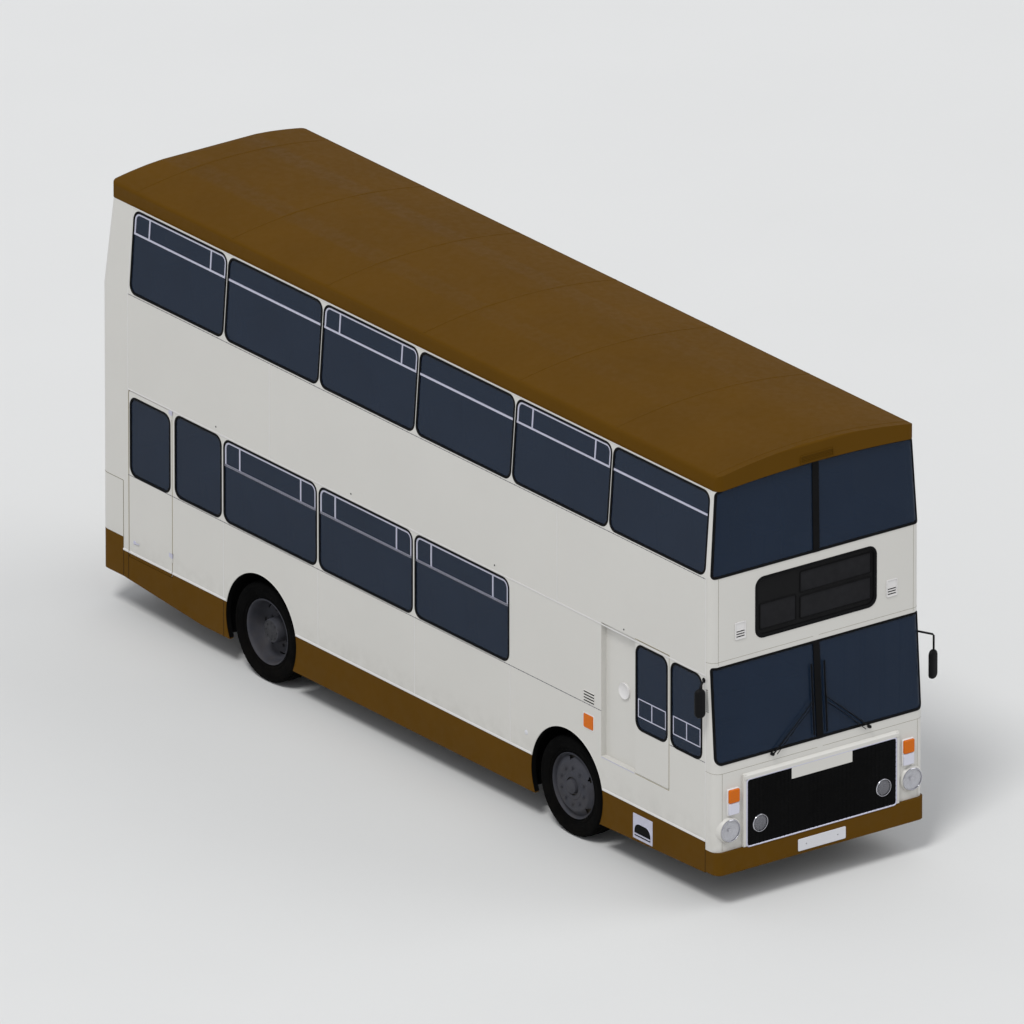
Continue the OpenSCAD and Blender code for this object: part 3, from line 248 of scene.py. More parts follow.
CREAM = finish("cream_enamel", (204, 202, 196), rough=0.36, vary=0.015, patch=0.9, grain=0.01, grain_scale=700,
               dirt=0.25, spec=0.35, Coat_Weight=0.12, Coat_Roughness=0.2)
BROWN = finish("brown_enamel", (88, 60, 11), rough=0.55, vary=0.05, patch=1.2, grain=0.01, grain_scale=700,
               dirt=0.08, dirt_top=0.8, spec=0.03)
BROWN_SEAM = finish("brown_joint", (44, 29, 9), rough=0.7, vary=0.2, patch=12, grain=0.1, spec=0.1)
LINER = finish("wheel_arch_liner", (10, 10, 10), rough=0.9, vary=0.3, patch=5, grain=0.3, grain_scale=90, spec=0.05)
TRIM = finish("light_moulding", (214, 212, 210), rough=0.4, vary=0.02, patch=8, grain=0.03)
RUBBER = finish("black_rubber", (12, 12, 13), rough=0.65, vary=0.25, grain=0.15, grain_scale=900, spec=0.08)
SEAM = finish("seam_sealant", (104, 96, 66), rough=0.7, vary=0.2, patch=12, grain=0.1)
DARK_SEAM = finish("dark_seam", (52, 52, 66), rough=0.6, vary=0.25, patch=30, grain=0.1)
OLIVE = finish("door_edge_sealant", (132, 120, 76), rough=0.6, vary=0.1, patch=10, grain=0.1)
ALLOY = finish("anodised_alloy", (190, 190, 206), rough=0.4, metallic=0.25, vary=0.04, patch=20, grain=0.06,
               grain_scale=1500)
CHROME = finish("chromed_steel", (190, 190, 196), rough=0.14, metallic=1.0, vary=0.03, patch=10, grain=0.01)
STEEL = finish("satin_steel", (150, 150, 152), rough=0.35, metallic=0.9, vary=0.05, patch=15, grain=0.05)
PLASTIC = finish("black_moulding", (15, 15, 16), rough=0.5, vary=0.15, grain=0.12, grain_scale=650, spec=0.1)
MESH = finish("grille_mesh", (12, 12, 12), rough=0.6, vary=0.15, grain=0.1, spec=0.05)
GREY_PLASTIC = finish("grey_moulding", (126, 126, 124), rough=0.6, vary=0.08, grain=0.2, grain_scale=450)
WHITE = finish("plate_white", (206, 206, 210), rough=0.35, vary=0.02, grain=0.05, grain_scale=900)
BLIND = finish("roller_blind", (18, 18, 21), rough=0.7, vary=0.2, patch=6, grain=0.1, grain_scale=800, spec=0.2)
CHASSIS = finish("chassis_paint", (30, 29, 28), rough=0.55, vary=0.2, patch=6, grain=0.15, grain_scale=200, dirt=0.5,
                 dirt_top=1.2)
IRON = finish("engine_iron", (112, 114, 112), rough=0.65, vary=0.15, patch=8, grain=0.4, grain_scale=120, dirt=0.4,
              dirt_top=1.3)
WHEEL = finish("wheel_paint", (60, 61, 67), rough=0.55, vary=0.12, patch=7, grain=0.06, dirt=0.12, spec=0.1)
TYRE = finish("tyre_rubber", (7, 7, 7), rough=0.9, vary=0.3, patch=6, grain=0.35, grain_scale=260, dirt=0.015,
              dirt_top=0.8, spec=0.04)
HUB = finish("hub_cover", (54, 54, 57), rough=0.55, vary=0.15, patch=9, grain=0.1, spec=0.15)
VINYL = finish("brown_vinyl", (78, 50, 30), rough=0.5, vary=0.12, grain=0.3, grain_scale=320)
LAMINATE = finish("cream_laminate", (186, 178, 158), rough=0.45, vary=0.04, grain=0.05)
FLOOR_COVER = make_tread_floor("ribbed_floor")
CLOTH = make_moquette("seat_moquette")
# Painted shade: nearly opaque, so its dark blue is partly the glass's own tint and partly the shade of the dim inside.
GLASS = make_glass("tinted_glass_painted_shade", (26, 39, 57), 0.82)
LAMP_GLASS = make_lens("lamp_glass", (190, 190, 198), rough=0.15, rib=420, Alpha=0.30)
AMBER = make_lens("amber_lens", (212, 106, 0), Coat_Weight=0.08, Specular_IOR_Level=0.15)
WHITE_LENS = make_lens("white_lens", (214, 214, 226))
RED = make_lens("red_lens", (150, 14, 12))
BOWL = finish("lamp_bowl", (205, 205, 208), rough=0.35, metallic=0.55, vary=0.1, patch=30, grain=0.1)
MIRROR = finish("mirror_glass", (200, 205, 210), rough=0.04, metallic=1.0, vary=0.01, grain=0.0)

BY_SLOT = {"cream_paint": CREAM, "brown_paint": BROWN, "black_plastic": PLASTIC, "dark_glass": GLASS,
           "lamp_lens": AMBER, "plate_white": WHITE, "floor_covering": FLOOR_COVER, "grey_plastic": GREY_PLASTIC,
           "seat_cloth": CLOTH, "chassis_black": CHASSIS, "engine_grey": IRON, "wheel_grey": WHEEL,
           "tyre_rubber": TYRE}
# The slot for a new piece's first material; make looks it up but does not set it
SLOTS = {"cream_paint": (CREAM, TRIM, SEAM, OLIVE), "brown_paint": (BROWN, BROWN_SEAM),
         "black_plastic": (RUBBER, PLASTIC, MESH, LINER, DARK_SEAM, BLIND), "grey_plastic": (ALLOY, STEEL),
         "dark_glass": (GLASS,), "lamp_lens": (CHROME, LAMP_GLASS, BOWL, AMBER), "plate_white": (WHITE,),
         "tyre_rubber": (TYRE,), "wheel_grey": (WHEEL,), "chassis_black": (CHASSIS,)}
SLOT_OF = {material.name: slot for slot, group in SLOTS.items() for material in group}


# ---------------------------------------------------------------- the camera

VIEW_AZIMUTH, VIEW_ELEVATION = math.radians(-36.88), math.radians(21.8)
VIEW_WIDTH = 9.942
LENS, SENSOR = 1400.0, 36.0
AIM_RIGHT, AIM_UP = 0.0155, 2.0796                  # the picture's middle, from the origin


def backwards(azimuth, elevation):
    """The direction from the object to whatever looks at it from these angles."""
    return Vector((math.sin(azimuth) * math.cos(elevation), -math.cos(azimuth) * math.cos(elevation),
                   math.sin(elevation)))


def add_camera():
    """A very long lens from the front offside corner, which keeps parallel lines parallel."""
    right = Vector((math.cos(VIEW_AZIMUTH), math.sin(VIEW_AZIMUTH), 0))
    back = backwards(VIEW_AZIMUTH, VIEW_ELEVATION)
    up = back.cross(right)
    data = bpy.data.cameras.new("camera")
    data.lens, data.sensor_width = LENS, SENSOR
    data.clip_start, data.clip_end = 10.0, 4000.0
    camera = bpy.data.objects.new("camera", data)
    target = AIM_RIGHT * right + AIM_UP * up
    camera.matrix_world = Matrix.Translation(target + back * VIEW_WIDTH * LENS / SENSOR) @ Matrix(
        (right, up, back)).transposed().to_4x4()
    bpy.context.scene.collection.objects.link(camera)
    bpy.context.scene.camera = camera


add_camera()


# ---------------------------------------------------------------- mesh building

class Shape:
    """Collects points and faces. Each call of a builder method adds one closed form or strip."""

    def __init__(self):
        self.points, self.faces, self.slots = [], [], []
        self.slot = 0

    def use(self, slot):
        self.slot = slot
        return self

    def add(self, points, faces):
        base = len(self.points)
        self.points += [Vector(p) for p in points]
        self.faces += [[base + i for i in f] for f in faces]
        self.slots += [self.slot] * len(faces)

    def loft(self, loops, closed=True, caps=True, ring=False, skip=None):
        """Joins loops of equally many points. ring joins the last loop to the first; skip(i, j) leaves a face out."""
        n, m = len(loops[0]), len(loops)
        faces = []
        for i in range(m if ring else m - 1):
            for j in range(n if closed else n - 1):
                if skip and skip(i, j):
                    continue
                row, after, k = i * n, (i + 1) % m * n, (j + 1) % n
                faces.append([row + j, row + k, after + k, after + j])
        if caps and not ring:
            faces += [list(range(n))[::-1], [(m - 1) * n + j for j in range(n)]]
        self.add([p for loop in loops for p in loop], faces)

    def box(self, lo, hi):
        (x0, y0, z0), (x1, y1, z1) = lo, hi
        self.loft([[(x0, y0, z), (x1, y0, z), (x1, y1, z), (x0, y1, z)] for z in (z0, z1)])

    def bar(self, at, a0, a1, z0, z1, d0, d1):
        """A flat bar on a surface: along a, up z, standing from depth d0 to d1."""
        self.loft([[at(d, a0, z0), at(d, a1, z0), at(d, a1, z1), at(d, a0, z1)] for d in (d0, d1)])

    def upright(self, at, a, half, z0, z1, d0, d1):
        """A narrow upright bar, half wide on each side of a."""
        self.bar(at, a - half, a + half, z0, z1, d0, d1)

    def ridge(self, at, a0, a1, z, section):
        """A straight ridge from a0 to a1 with a section of (out, up) points from height z."""
        self.loft([[at(d, a, z + h) for d, h in section] for a in (a0, a1)])

    def knuckle(self, centre, axis=(0, 0, 1), height=KNUCKLE_H):
        """A hinge knuckle: a short cylinder that stands on centre."""
        self.lathe([(1e-4, 0.0), (KNUCKLE_R, 0.0), (KNUCKLE_R, height), (1e-4, height)], centre, axis, 16)

    def plate(self, at, outline, d0, d1, edge=0.0):
        """A flat plate with an outline on a surface, and a bevelled outer edge."""
        loops = [[at(d0, a, z) for a, z in outline]]
        if edge:
            loops += [[at(d1 - edge, a, z) for a, z in outline], [at(d1, a, z) for a, z in shrink(outline, edge)]]
        else:
            loops += [[at(d1, a, z) for a, z in outline]]
        self.loft(loops)

    def holed_plate(self, at, outer, inner, d0, d1):
        """A plate with one opening. Both outlines have equally many points."""
        self.loft([[at(d0, *p) for p in outer], [at(d1, *p) for p in outer], [at(d1, *p) for p in inner],
                   [at(d0, *p) for p in inner]], ring=True)

    def sweep(self, points, normals, profile, closed=False):
        """Carries a closed profile of (across, out) pairs along a path that lies on a surface."""
        n = len(points)
        loops = []
        for i in range(n):
            before = points[i - 1] if closed or i else None
            after = points[(i + 1) % n] if closed or i < n - 1 else None
            one = (points[i] - before).normalized() if before is not None else None
            two = (after - points[i]).normalized() if after is not None else None
            one, two = one or two, two or one
            across_one, across_two = one.cross(normals[i]), two.cross(normals[i])
            across = (across_one + across_two) / max(0.3, 1 + across_one.dot(across_two))
            loops.append([points[i] + across * u + normals[i] * v for u, v in profile])
        self.loft(loops, caps=not closed, ring=closed)

    def seal(self, at, path, u0, u1, d0, d1, closed=True):
        """A bevelled strip along a path of (a, z) points on a surface. u is outward, or down on a line."""
        a, z = path[0]
        start = at(0.0, a, z)
        along, up, out = at(0.0, a + 0.01, z) - start, at(0.0, a, z + 0.01) - start, at(0.01, a, z) - start
        if along.cross(up).dot(out) < 0:
            u0, u1 = -u1, -u0
        c = min(0.35 * (u1 - u0), 0.5 * (d1 - d0))
        profile = [(u0, d0), (u0, d1 - c), (u0 + c, d1), (u1 - c, d1), (u1, d1 - c), (u1, d0)]
        points = [at(0.0, a, z) for a, z in path]
        normals = [(at(0.01, a, z) - p).normalized() for (a, z), p in zip(path, points)]
        self.sweep(points, normals, profile, closed)

    def tube(self, path, r, n=10, closed=False):
        """A round tube through points; r is one radius or one for each point."""
        path = [Vector(p) for p in path]
        radii = r if isinstance(r, (list, tuple)) else [r] * len(path)
        side = None
        loops = []
        for i, p in enumerate(path):
            before = path[i - 1] if closed or i else p
            after = path[(i + 1) % len(path)] if closed or i < len(path) - 1 else p
            along = (after - before).normalized()
            if side is None:
                side = along.orthogonal().normalized()
            side = (side - along * side.dot(along)).normalized()
            other = along.cross(side)
            loops.append([p + radii[i] * (math.cos(t) * side + math.sin(t) * other)
                          for t in (math.tau * k / n for k in range(n))])
        self.loft(loops, caps=not closed, ring=closed)

    def lathe(self, profile, centre, axis, n=48, skip=None, closed=False):
        """Turns (radius, height) pairs about an axis through centre. profile may be a function of the step."""
        axis = Vector(axis).normalized()
        side = axis.orthogonal().normalized()
        other = axis.cross(side)
        centre = Vector(centre)
        loops = []
        for k in range(n):
            t = math.tau * k / n
            out = math.cos(t) * side + math.sin(t) * other
            loops.append([centre + out * r + axis * h for r, h in (profile(k) if callable(profile) else profile)])
        self.loft(loops, closed=closed, ring=True, skip=skip)

    def dome(self, centre, axis, r, h, n=10):
        """A low round head, such as a rivet or a screw."""
        self.lathe([(1e-4, h), (0.6 * r, 0.85 * h), (r, 0.3 * h), (r, -0.001)], centre, axis, n)


def shrink(outline, d):
    """The outline with every point moved in by d towards the middle, along each axis."""
    mid = [sum(p[i] for p in outline) / len(outline) for i in (0, 1)]
    half = [max(abs(p[i] - mid[i]) for p in outline) for i in (0, 1)]
    return [tuple(mid[i] + (p[i] - mid[i]) * (half[i] - d) / half[i] for i in (0, 1)) for p in outline]


def rounded(window, r=WIN_R, grow=0.0, n=6, r_low=None):
    """The rounded outline of (a0, a1, z0, z1), grown outwards by grow. r_low is the lower corners' own radius."""
    a0, a1, z0, z1 = window
    a0, a1, z0, z1 = a0 - grow, a1 + grow, z0 - grow, z1 + grow
    top, low = max(r + grow, 0.001), max((r if r_low is None else r_low) + grow, 0.001)
    corners = [(a1 - low, z0 + low, low, -90), (a1 - top, z1 - top, top, 0), (a0 + top, z1 - top, top, 90),
               (a0 + low, z0 + low, low, 180)]
    return [(a + q * math.cos(math.radians(t + 90 * k / n)), z + q * math.sin(math.radians(t + 90 * k / n)))
            for a, z, q, t in corners for k in range(n + 1)]


def arc(a, z, r, t0, t1, n=24):
    turns = [math.radians(t0 + (t1 - t0) * k / n) for k in range(n + 1)]
    return [(a + r * math.cos(t), z + r * math.sin(t)) for t in turns]


def build_mesh(name, shape, materials):
    """A Shape as a mesh with its materials, consistent normals and smooth faces."""
    mesh = bpy.data.meshes.new(name)
    mesh.from_pydata([tuple(p) for p in shape.points], [], shape.faces)
    for material in materials:
        mesh.materials.append(material)
    mesh.polygons.foreach_set("material_index", shape.slots)
    work = bmesh.new()
    work.from_mesh(mesh)
    bmesh.ops.recalc_face_normals(work, faces=work.faces)
    work.to_mesh(mesh)
    work.free()
    mesh.polygons.foreach_set("use_smooth", [True] * len(mesh.polygons))
    return mesh


def make(name, shape, materials, body="root", slot=None, replaces=(), bevel=0.0, angle=35.0):
    """A Shape as a piece on its body: smooth faces, sharp edges, the nodes it stands for hidden; slot is not used."""
    materials = materials if isinstance(materials, list) else [materials]
    mesh = build_mesh(name, shape, materials)
    mesh.set_sharp_from_angle(angle=math.radians(angle))
    piece = bpy.data.objects.new(name, mesh)
    bpy.context.scene.collection.objects.link(piece)
    if bevel:
        add_bevel(piece, bevel)
    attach(piece, body)
    slot or SLOT_OF[materials[0].name]
    if replaces:
        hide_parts(*replaces)
    return piece


def add_bevel(piece, width, segments=2):
    bevel = piece.modifiers.new("edges", "BEVEL")
    bevel.width, bevel.segments, bevel.limit_method = width, segments, "ANGLE"
    bevel.angle_limit = math.radians(40)


# ---------------------------------------------------------------- where the bodywork's surfaces are

def side_x(z):
    return HALF_W - max(0.0, z - WAIST_Z) * (HALF_W - ROOF_HALF_W) / (CANT_Z - WAIST_Z)


def on_side(s):
    """Places (depth out, y, z) on the offside or nearside wall."""
    return lambda d, y, z: Vector((s * (side_x(z) + d), y, z))


def on_plane_y(y0):
    """Places (depth out, x, z) on an upright face that looks forwards."""
    return lambda d, x, z: Vector((x, y0 - d, z))


def on_rear(d, x, z):
    """A place on the rear wall, which leans in above the waist."""
    return Vector((x, REAR_Y - max(0.0, z - WAIST_Z) * REAR_LEAN / (CANT_Z - WAIST_Z) + d, z))


def screen_y(z):
    """The front's y at a height: the raked lower screen, the destination band, then the upper screen."""
    if z < DASH_TOP:
        return DASH_Y
    if z < BAND_LOW:
        return DASH_Y + (BAND_Y - DASH_Y) * (z - DASH_TOP) / (BAND_LOW - DASH_TOP)
    return BAND_Y + SCREEN_LEAN * max(0.0, z - BAND_TOP) / (SCREEN_TOP - BAND_TOP)


def on_front(s):
    """Places (depth out, t, z) round a front corner: t runs 0-1 across the flat, 1-2 round the bend, 2-3 back."""
    def at(d, t, z):
        w, y = side_x(z), screen_y(z)
        r = min(CORNER_R, CORNER_Y - y - 0.001)
        if t <= 1:
            return Vector((s * t * (w - r), y - d, z))
        if t <= 2:
            a = math.pi / 2 * (t - 1)
            return Vector((s * (w - r + (r + d) * math.sin(a)), y + r - (r + d) * math.cos(a), z))
        return Vector((s * (w + d), y + r + (t - 2) * (CORNER_Y - y - r), z))
    return at


def on_rear_corner(s):
    """Places (depth out, t, z) round a lower rear corner: t 0-1 across the rear, 1-2 round the bend, 2-3 forwards."""
    def at(d, t, z):
        r = REAR_CORNER_R
        if t <= 1:
            return Vector((s * (0.55 + 0.45 * t) * (HALF_W - r), REAR_Y + d, z))
        if t <= 2:
            a = math.pi / 2 * (t - 1)
            return Vector((s * (HALF_W - r + (r + d) * math.sin(a)), REAR_Y - r + (r + d) * math.cos(a), z))
        return Vector((s * (HALF_W + d), REAR_Y - r - (t - 2) * (REAR_Y - r - TAIL_Y), z))
    return at


BEND = [0.0, 0.5, 1.0, 1.2, 1.4, 1.6, 1.8, 2.0, 3.0]
ACROSS = [0.03, 0.25, 0.5, 0.75, 1.0, 1.15, 1.3, 1.45, 1.6, 1.75, 1.9, 2.0, 3.0]


def brow_z(x):
    return CANT_Z + (SCREEN_TOP - CANT_Z) * (1 - (x / ROOF_HALF_W) ** 2)


ROOF_ENDS = [(-4.890, -0.024), (-4.874, -0.003), (-4.850, 0.0), (4.752, 0.0), (4.862, -0.008), (4.896, -0.024),
             (4.912, -0.070)]


def roof_top(y):
    """The roof's height on the middle line, which falls at both ends."""
    for (y0, h0), (y1, h1) in zip(ROOF_ENDS, ROOF_ENDS[1:]):
        if y0 <= y <= y1:
            return ROOF_Z + h0 + (h1 - h0) * (y - y0) / (y1 - y0)
    return ROOF_Z


def on_roof(x, y):
    u = x / ROOF_HALF_W
    arched = ROOF_Z - ROOF_CROWN * u * u - (ROOF_Z - CANT_Z - ROOF_CROWN) * abs(u) ** 160
    return Vector((x, y, min(arched, roof_top(y))))


# ---------------------------------------------------------------- CAD nodes: finishes and smooth shading

def smooth_group():
    """Geometry nodes that weld a CAD mesh's corners and shade it smooth up to an edge angle."""
    group = bpy.data.node_groups.new("smooth_by_angle", "GeometryNodeTree")
    group.interface.new_socket("Geometry", in_out="INPUT", socket_type="NodeSocketGeometry")
    group.interface.new_socket("Geometry", in_out="OUTPUT", socket_type="NodeSocketGeometry")
    new, link = group.nodes.new, group.links.new
    source, sink = new("NodeGroupInput"), new("NodeGroupOutput")
    kinds = ("MergeByDistance", "SetShadeSmooth", "SetShadeSmooth")
    weld, faces, edges = (new("GeometryNode" + kind) for kind in kinds)
    weld.inputs["Distance"].default_value = 2e-5
    edges.domain = "EDGE"
    edges.inputs["Shade Smooth"].default_value = False
    corner, compare = new("GeometryNodeInputMeshEdgeAngle"), new("FunctionNodeCompare")
    compare.inputs[1].default_value = math.radians(32)
    link(source.outputs[0], weld.inputs["Geometry"])
    link(weld.outputs["Geometry"], faces.inputs["Geometry"])
    link(faces.outputs["Geometry"], edges.inputs["Geometry"])
    link(corner.outputs["Unsigned Angle"], compare.inputs[0])
    link(compare.outputs["Result"], edges.inputs["Selection"])
    link(edges.outputs["Geometry"], sink.inputs[0])
    return group


SMOOTH = smooth_group()
OWN_FINISH = {"wheel_arches": LINER, "cab_partition": LAMINATE, "rear_axle": IRON, "propeller_shaft": STEEL,
              "exhaust": STEEL}
for node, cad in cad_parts.items():
    for entry in cad.material_slots:
        entry.material = OWN_FINISH.get(node) or BY_SLOT[entry.material.name]
    cad.modifiers.new("smooth", "NODES").node_group = SMOOTH


# ---------------------------------------------------------------- side windows, mouldings and seams

def add_rubber(shape, at, window):
    """The black gasket that holds a pane: a bead over the body's edge and a lip on the glass."""
    shape.seal(at, rounded(window), -0.014, 0.013, -0.007, 0.005)


def add_vent(shape, at, window, low, uprights=True):
    """A light frame in the top of a window: a sill across it, and one opening light between two uprights."""
    a0, a1, z1 = window[0] + 0.014, window[1] - 0.014, window[3] - 0.014
    shape.bar(at, a0, a1, low, low + 0.020, -0.008, 0.001)
    if uprights:
        shape.seal(at, rounded((a0, a1, low, z1), WIN_R - 0.014, r_low=0.002), -0.020, 0.0, -0.008, 0.001)
        for a in (a0 + 0.234, a1 - 0.252):
            shape.bar(at, a, a + 0.018, low, z1, -0.008, 0.0005)


def add_side(name, s):
    at = on_side(s)
    lower = MAIN_WINDOWS + ([OFFSIDE_REAR_WINDOW] if s == OFFSIDE else NEARSIDE_WINDOWS)
    rubber, alloy = Shape(), Shape()
    for k, window in enumerate(UPPER_WINDOWS):
        add_rubber(rubber, at, window)
        add_vent(alloy, at, window, 4.012, uprights=k % 2 == 1)
    for window in lower:
        add_rubber(rubber, at, window)
        if window != OFFSIDE_REAR_WINDOW:
            add_vent(alloy, at, window, 2.086)
    if s == OFFSIDE:
        add_rubber(rubber, at, QUARTER_WINDOW)
        add_slider(alloy, at, QUARTER_WINDOW)
    make(name + "_window_rubbers", rubber, RUBBER)
    make(name + "_window_frames", alloy, ALLOY)
    add_mouldings(name, s, at)
    add_arch_linings(name, s, at)
    add_seams(name, s, at)


def add_slider(shape, at, window):
    """A low pair of sliding lights with a bar between them, as on the cab's windows."""
    a0, a1 = window[0] + 0.026, window[1] - 0.026
    shape.seal(at, rounded((a0, a1, 1.612, 1.806), 0.004, n=2), -0.011, 0.0, -0.008, -0.001)
    middle = (a0 + a1) / 2
    shape.bar(at, middle - 0.006, middle + 0.006, 1.618, 1.800, -0.008, -0.0015)


def gaps(lo, hi, *cuts):
    """The stretches of lo..hi that are left between cuts."""
    for a, b in sorted(cuts):
        if a > lo:
            yield lo, min(a, hi)
        lo = max(lo, b)
    if lo < hi:
        yield lo, hi


def add_mouldings(name, s, at):
    """The drip moulding over the lower windows, the cantrail, the rubbing strip, and beads round the arches."""
    doorway = (-4.650, -3.360)
    cuts = [(y - ARCH_R + 0.006, y + ARCH_R - 0.006) for y in (FRONT_AXLE, REAR_AXLE)]
    cuts += [(EXIT_DOOR[0] - 0.012, EXIT_DOOR[1] + 0.008)] if s == OFFSIDE else [doorway]
    light = Shape()
    light.bar(at, CORNER_Y, TRIM_END, DRIP_LOW, DRIP_TOP, 0.0, 0.005)
    light.bar(at, CORNER_Y, TRIM_END, CANTRAIL_LOW, CANTRAIL_TOP, -0.001, 0.005)
    for a, b in gaps(CORNER_Y, TAIL_Y, *cuts):
        light.ridge(at, a, b, 0.0, RUBBING_STRIP)
    make(name + "_mouldings", light, TRIM)
    low, high = 12.0, 168.0     # the arch's angles where the paint changes
    for colour, label, t0, t1 in ((CREAM, "upper", low, high), (BROWN, "front", -25.0, low),
                                  (BROWN, "rear", high, 205.0)):
        bead = Shape()
        for y in (FRONT_AXLE, REAR_AXLE):
            bead.seal(at, arc(y, ARCH_Z, ARCH_R, t0, t1, 32), -0.002, 0.008, -0.002, 0.003, closed=False)
        make(f"{name}_arch_bead_{label}", bead, colour)


def add_arch_linings(name, s, at):
    """Black linings inside the cut edges of the arches, and the flaps that carry the liners down to the skirt."""
    lining = Shape()
    x0, x1 = sorted((s * 0.62, s * 1.198))
    for y, liner_r in ((FRONT_AXLE, 0.640), (REAR_AXLE, 0.605)):
        lining.seal(at, arc(y, ARCH_Z, ARCH_R, -25.5, 205.5, 48), -0.004, 0.0, -0.056, -0.003, closed=False)
        for k in (-1, 1):
            edge = y + k * (liner_r + 0.006)
            lining.box((x0, edge - 0.004, 0.300), (x1, edge + 0.004, ARCH_Z + 0.010))
    make(name + "_arch_linings", lining, LINER)


def add_seams(name, s, at):
    """Upright panel joints under light cover strips, and dark riveted joints along the waists."""
    strips, seam, dots, corner, joint = (Shape() for _ in range(5))
    doors = [(-4.215, -3.135), EXIT_DOOR[:2]] if s == OFFSIDE else [(-4.640, -3.370)]
    for y in (2.975, 1.432, -0.135, -1.678):
        low = 1.130 if abs(y - REAR_AXLE) < ARCH_R else STRIP_TOP
        strips.upright(at, y, COVER_HALF, low, 1.483, 0.0, COVER_OUT)
    for y in (2.218, -2.428):
        strips.upright(at, y, COVER_HALF, DRIP_TOP, WAIST_Z, 0.0, COVER_OUT)
    for y, low in ((TRIM_END, DRIP_TOP), (CORNER_Y, STRIP_TOP)):
        for z0, z1 in ((low, WAIST_Z), (WAIST_Z, CANTRAIL_LOW)):
            strips.upright(at, y, COVER_HALF, z0, z1, -0.002, COVER_OUT)
    make(name + "_panel_strips", strips, TRIM)
    for z, cuts in ((WAIST_SEAM_Z, doors), (WAIST_Z + 0.003, [])):
        for a, b in gaps(CORNER_Y, TRIM_END, *cuts):
            seam.bar(at, a, b, z - SEAM_HALF, z + SEAM_HALF, -0.001, 0.0012)
            count = max(1, int((b - a) / 0.075))
            for k in range(count):
                dots.dome(at(0.0, a + (k + 0.5) * (b - a) / count, z), (s, 0, 0), 0.0055, 0.0030, 6)
    make(name + "_waist_seams", seam, DARK_SEAM)
    make(name + "_waist_rivets", dots, DARK_SEAM)
    corner.seal(on_rear_corner(s), [(t, NOSE_SEAM_Z) for t in BEND], -0.0025, 0.0025, -0.001, 0.0020, closed=False)
    corner.upright(at, TAIL_Y, 0.0025, STRIP_TOP, NOSE_SEAM_Z, -0.001, 0.0020)
    make(name + "_corner_seam", corner, SEAM)
    for y, low in ((CORNER_Y, 0.352), (2.975, 0.292), (TRIM_END, 0.392), (TAIL_Y, 0.398)):
        joint.upright(at, y, 0.003, low, SKIRT_TOP, -0.001, 0.0016)
    make(name + "_skirt_joint", joint, BROWN_SEAM)


for side, sign in SIDES.items():
    add_side(side, sign)


# ---------------------------------------------------------------- roof

def add_roof_details():
    """The straps over the roof panels' joints, and the gutters."""
    straps, gutters, steps = Shape(), Shape(), 40
    half = ROOF_HALF_W * 0.970
    for y in (4.515, 2.955, 1.405, -0.155, -1.705, -3.245, -4.795):
        path = [on_roof(half * (2 * k / steps - 1), y) for k in range(steps + 1)]
        normals = [(on_roof(p.x * 0.999 + 0.001, y) - p).cross(Vector((0, -1, 0))).normalized() for p in path]
        normals = [n if n.z > 0 else -n for n in normals]
        straps.sweep(path, normals, [(-0.014, -0.003), (-0.011, 0.0022), (0.011, 0.0022), (0.014, -0.003)])
    make("roof_joint_straps", straps, BROWN, angle=50)
    for s in SIDES.values():
        gutters.bar(on_side(s), CORNER_Y, TRIM_END, CANTRAIL_TOP, 4.296, -0.010, 0.006)
    make("roof_gutters", gutters, BROWN)


add_roof_details()


# ---------------------------------------------------------------- front

def front_radius(z):
    return min(CORNER_R, CORNER_Y - screen_y(z) - 0.001)


def front_t(length, z):
    """The on_front coordinate t at a length from the middle, measured round the surface."""
    r = front_radius(z)
    flat, bend = side_x(z) - r, r * math.pi / 2
    if length <= flat:
        return length / flat
    if length <= flat + bend:
        return 1 + (length - flat) / bend
    return 2 + (length - flat - bend) / (CORNER_Y - screen_y(z) - r)


def screen_length(z):
    """How far round from the middle a screen's glass reaches: a little over half of the bend."""
    r = front_radius(z)
    return side_x(z) - r + SCREEN_BEND * r * math.pi / 2


def screen_top(x):
    return brow_z(min(abs(x), ROOF_HALF_W)) - 0.004


def screen_outline(z0, z1, low_r, top_r, upper):
    """Half a screen's edge as (t, z): along the bottom, up its rounded outer side, and back along the top."""
    corner_steps, inner = 6, 0.020
    spread = [1 - (1 - k / 12) ** 2.2 for k in range(12)]    # closer together where the face bends
    low = [(front_t(inner + (screen_length(z0) - low_r - inner) * share, z0), z0) for share in spread]
    side, top = [], []
    for r, cz, start in ((low_r, z0 + low_r, -90), (top_r, z1 - top_r, 0)):
        for k in range(corner_steps + 1):
            a = math.radians(start + 90 * k / corner_steps)
            z = cz + r * math.sin(a)
            side.append((front_t(screen_length(z) - r + r * math.cos(a), z), z))
    for share in reversed(spread):
        length = inner + (screen_length(z1) - top_r - inner) * share
        z = max(z1, screen_top(length)) if upper else z1
        top.append((front_t(length, z), z))
    return low + side + top


def corner_cover(at, z0, z1, low_r, top_r, cover):
    """The body-coloured post outside a screen's rounded end, from the glass edge back to the side."""
    rows, n = [], 8
    zs = [z0 - 0.004] + [z0 + low_r * (1 - math.cos(math.pi / 2 * k / n)) for k in range(n + 1)] + [(z0 + z1) / 2]
    zs += [z1 - top_r * (1 - math.sin(math.pi / 2 * k / n)) for k in range(n + 1)] + [z1 + 0.004]
    for z in zs:
        r, inside = (low_r, z0 + low_r - z) if z < (z0 + z1) / 2 else (top_r, z - z1 + top_r)
        inside = min(max(0.0, inside), r)
        length = screen_length(z) - r + math.sqrt(r ** 2 - inside ** 2)
        t0 = front_t(length, z)
        ts = [t0 + (2.0 - t0) * k / 8 for k in range(9)] + [3.0]
        rows.append([at(0.0006, t, z) for t in ts] + [at(-0.0062, t, z) for t in reversed(ts)])
    cover.loft(rows)


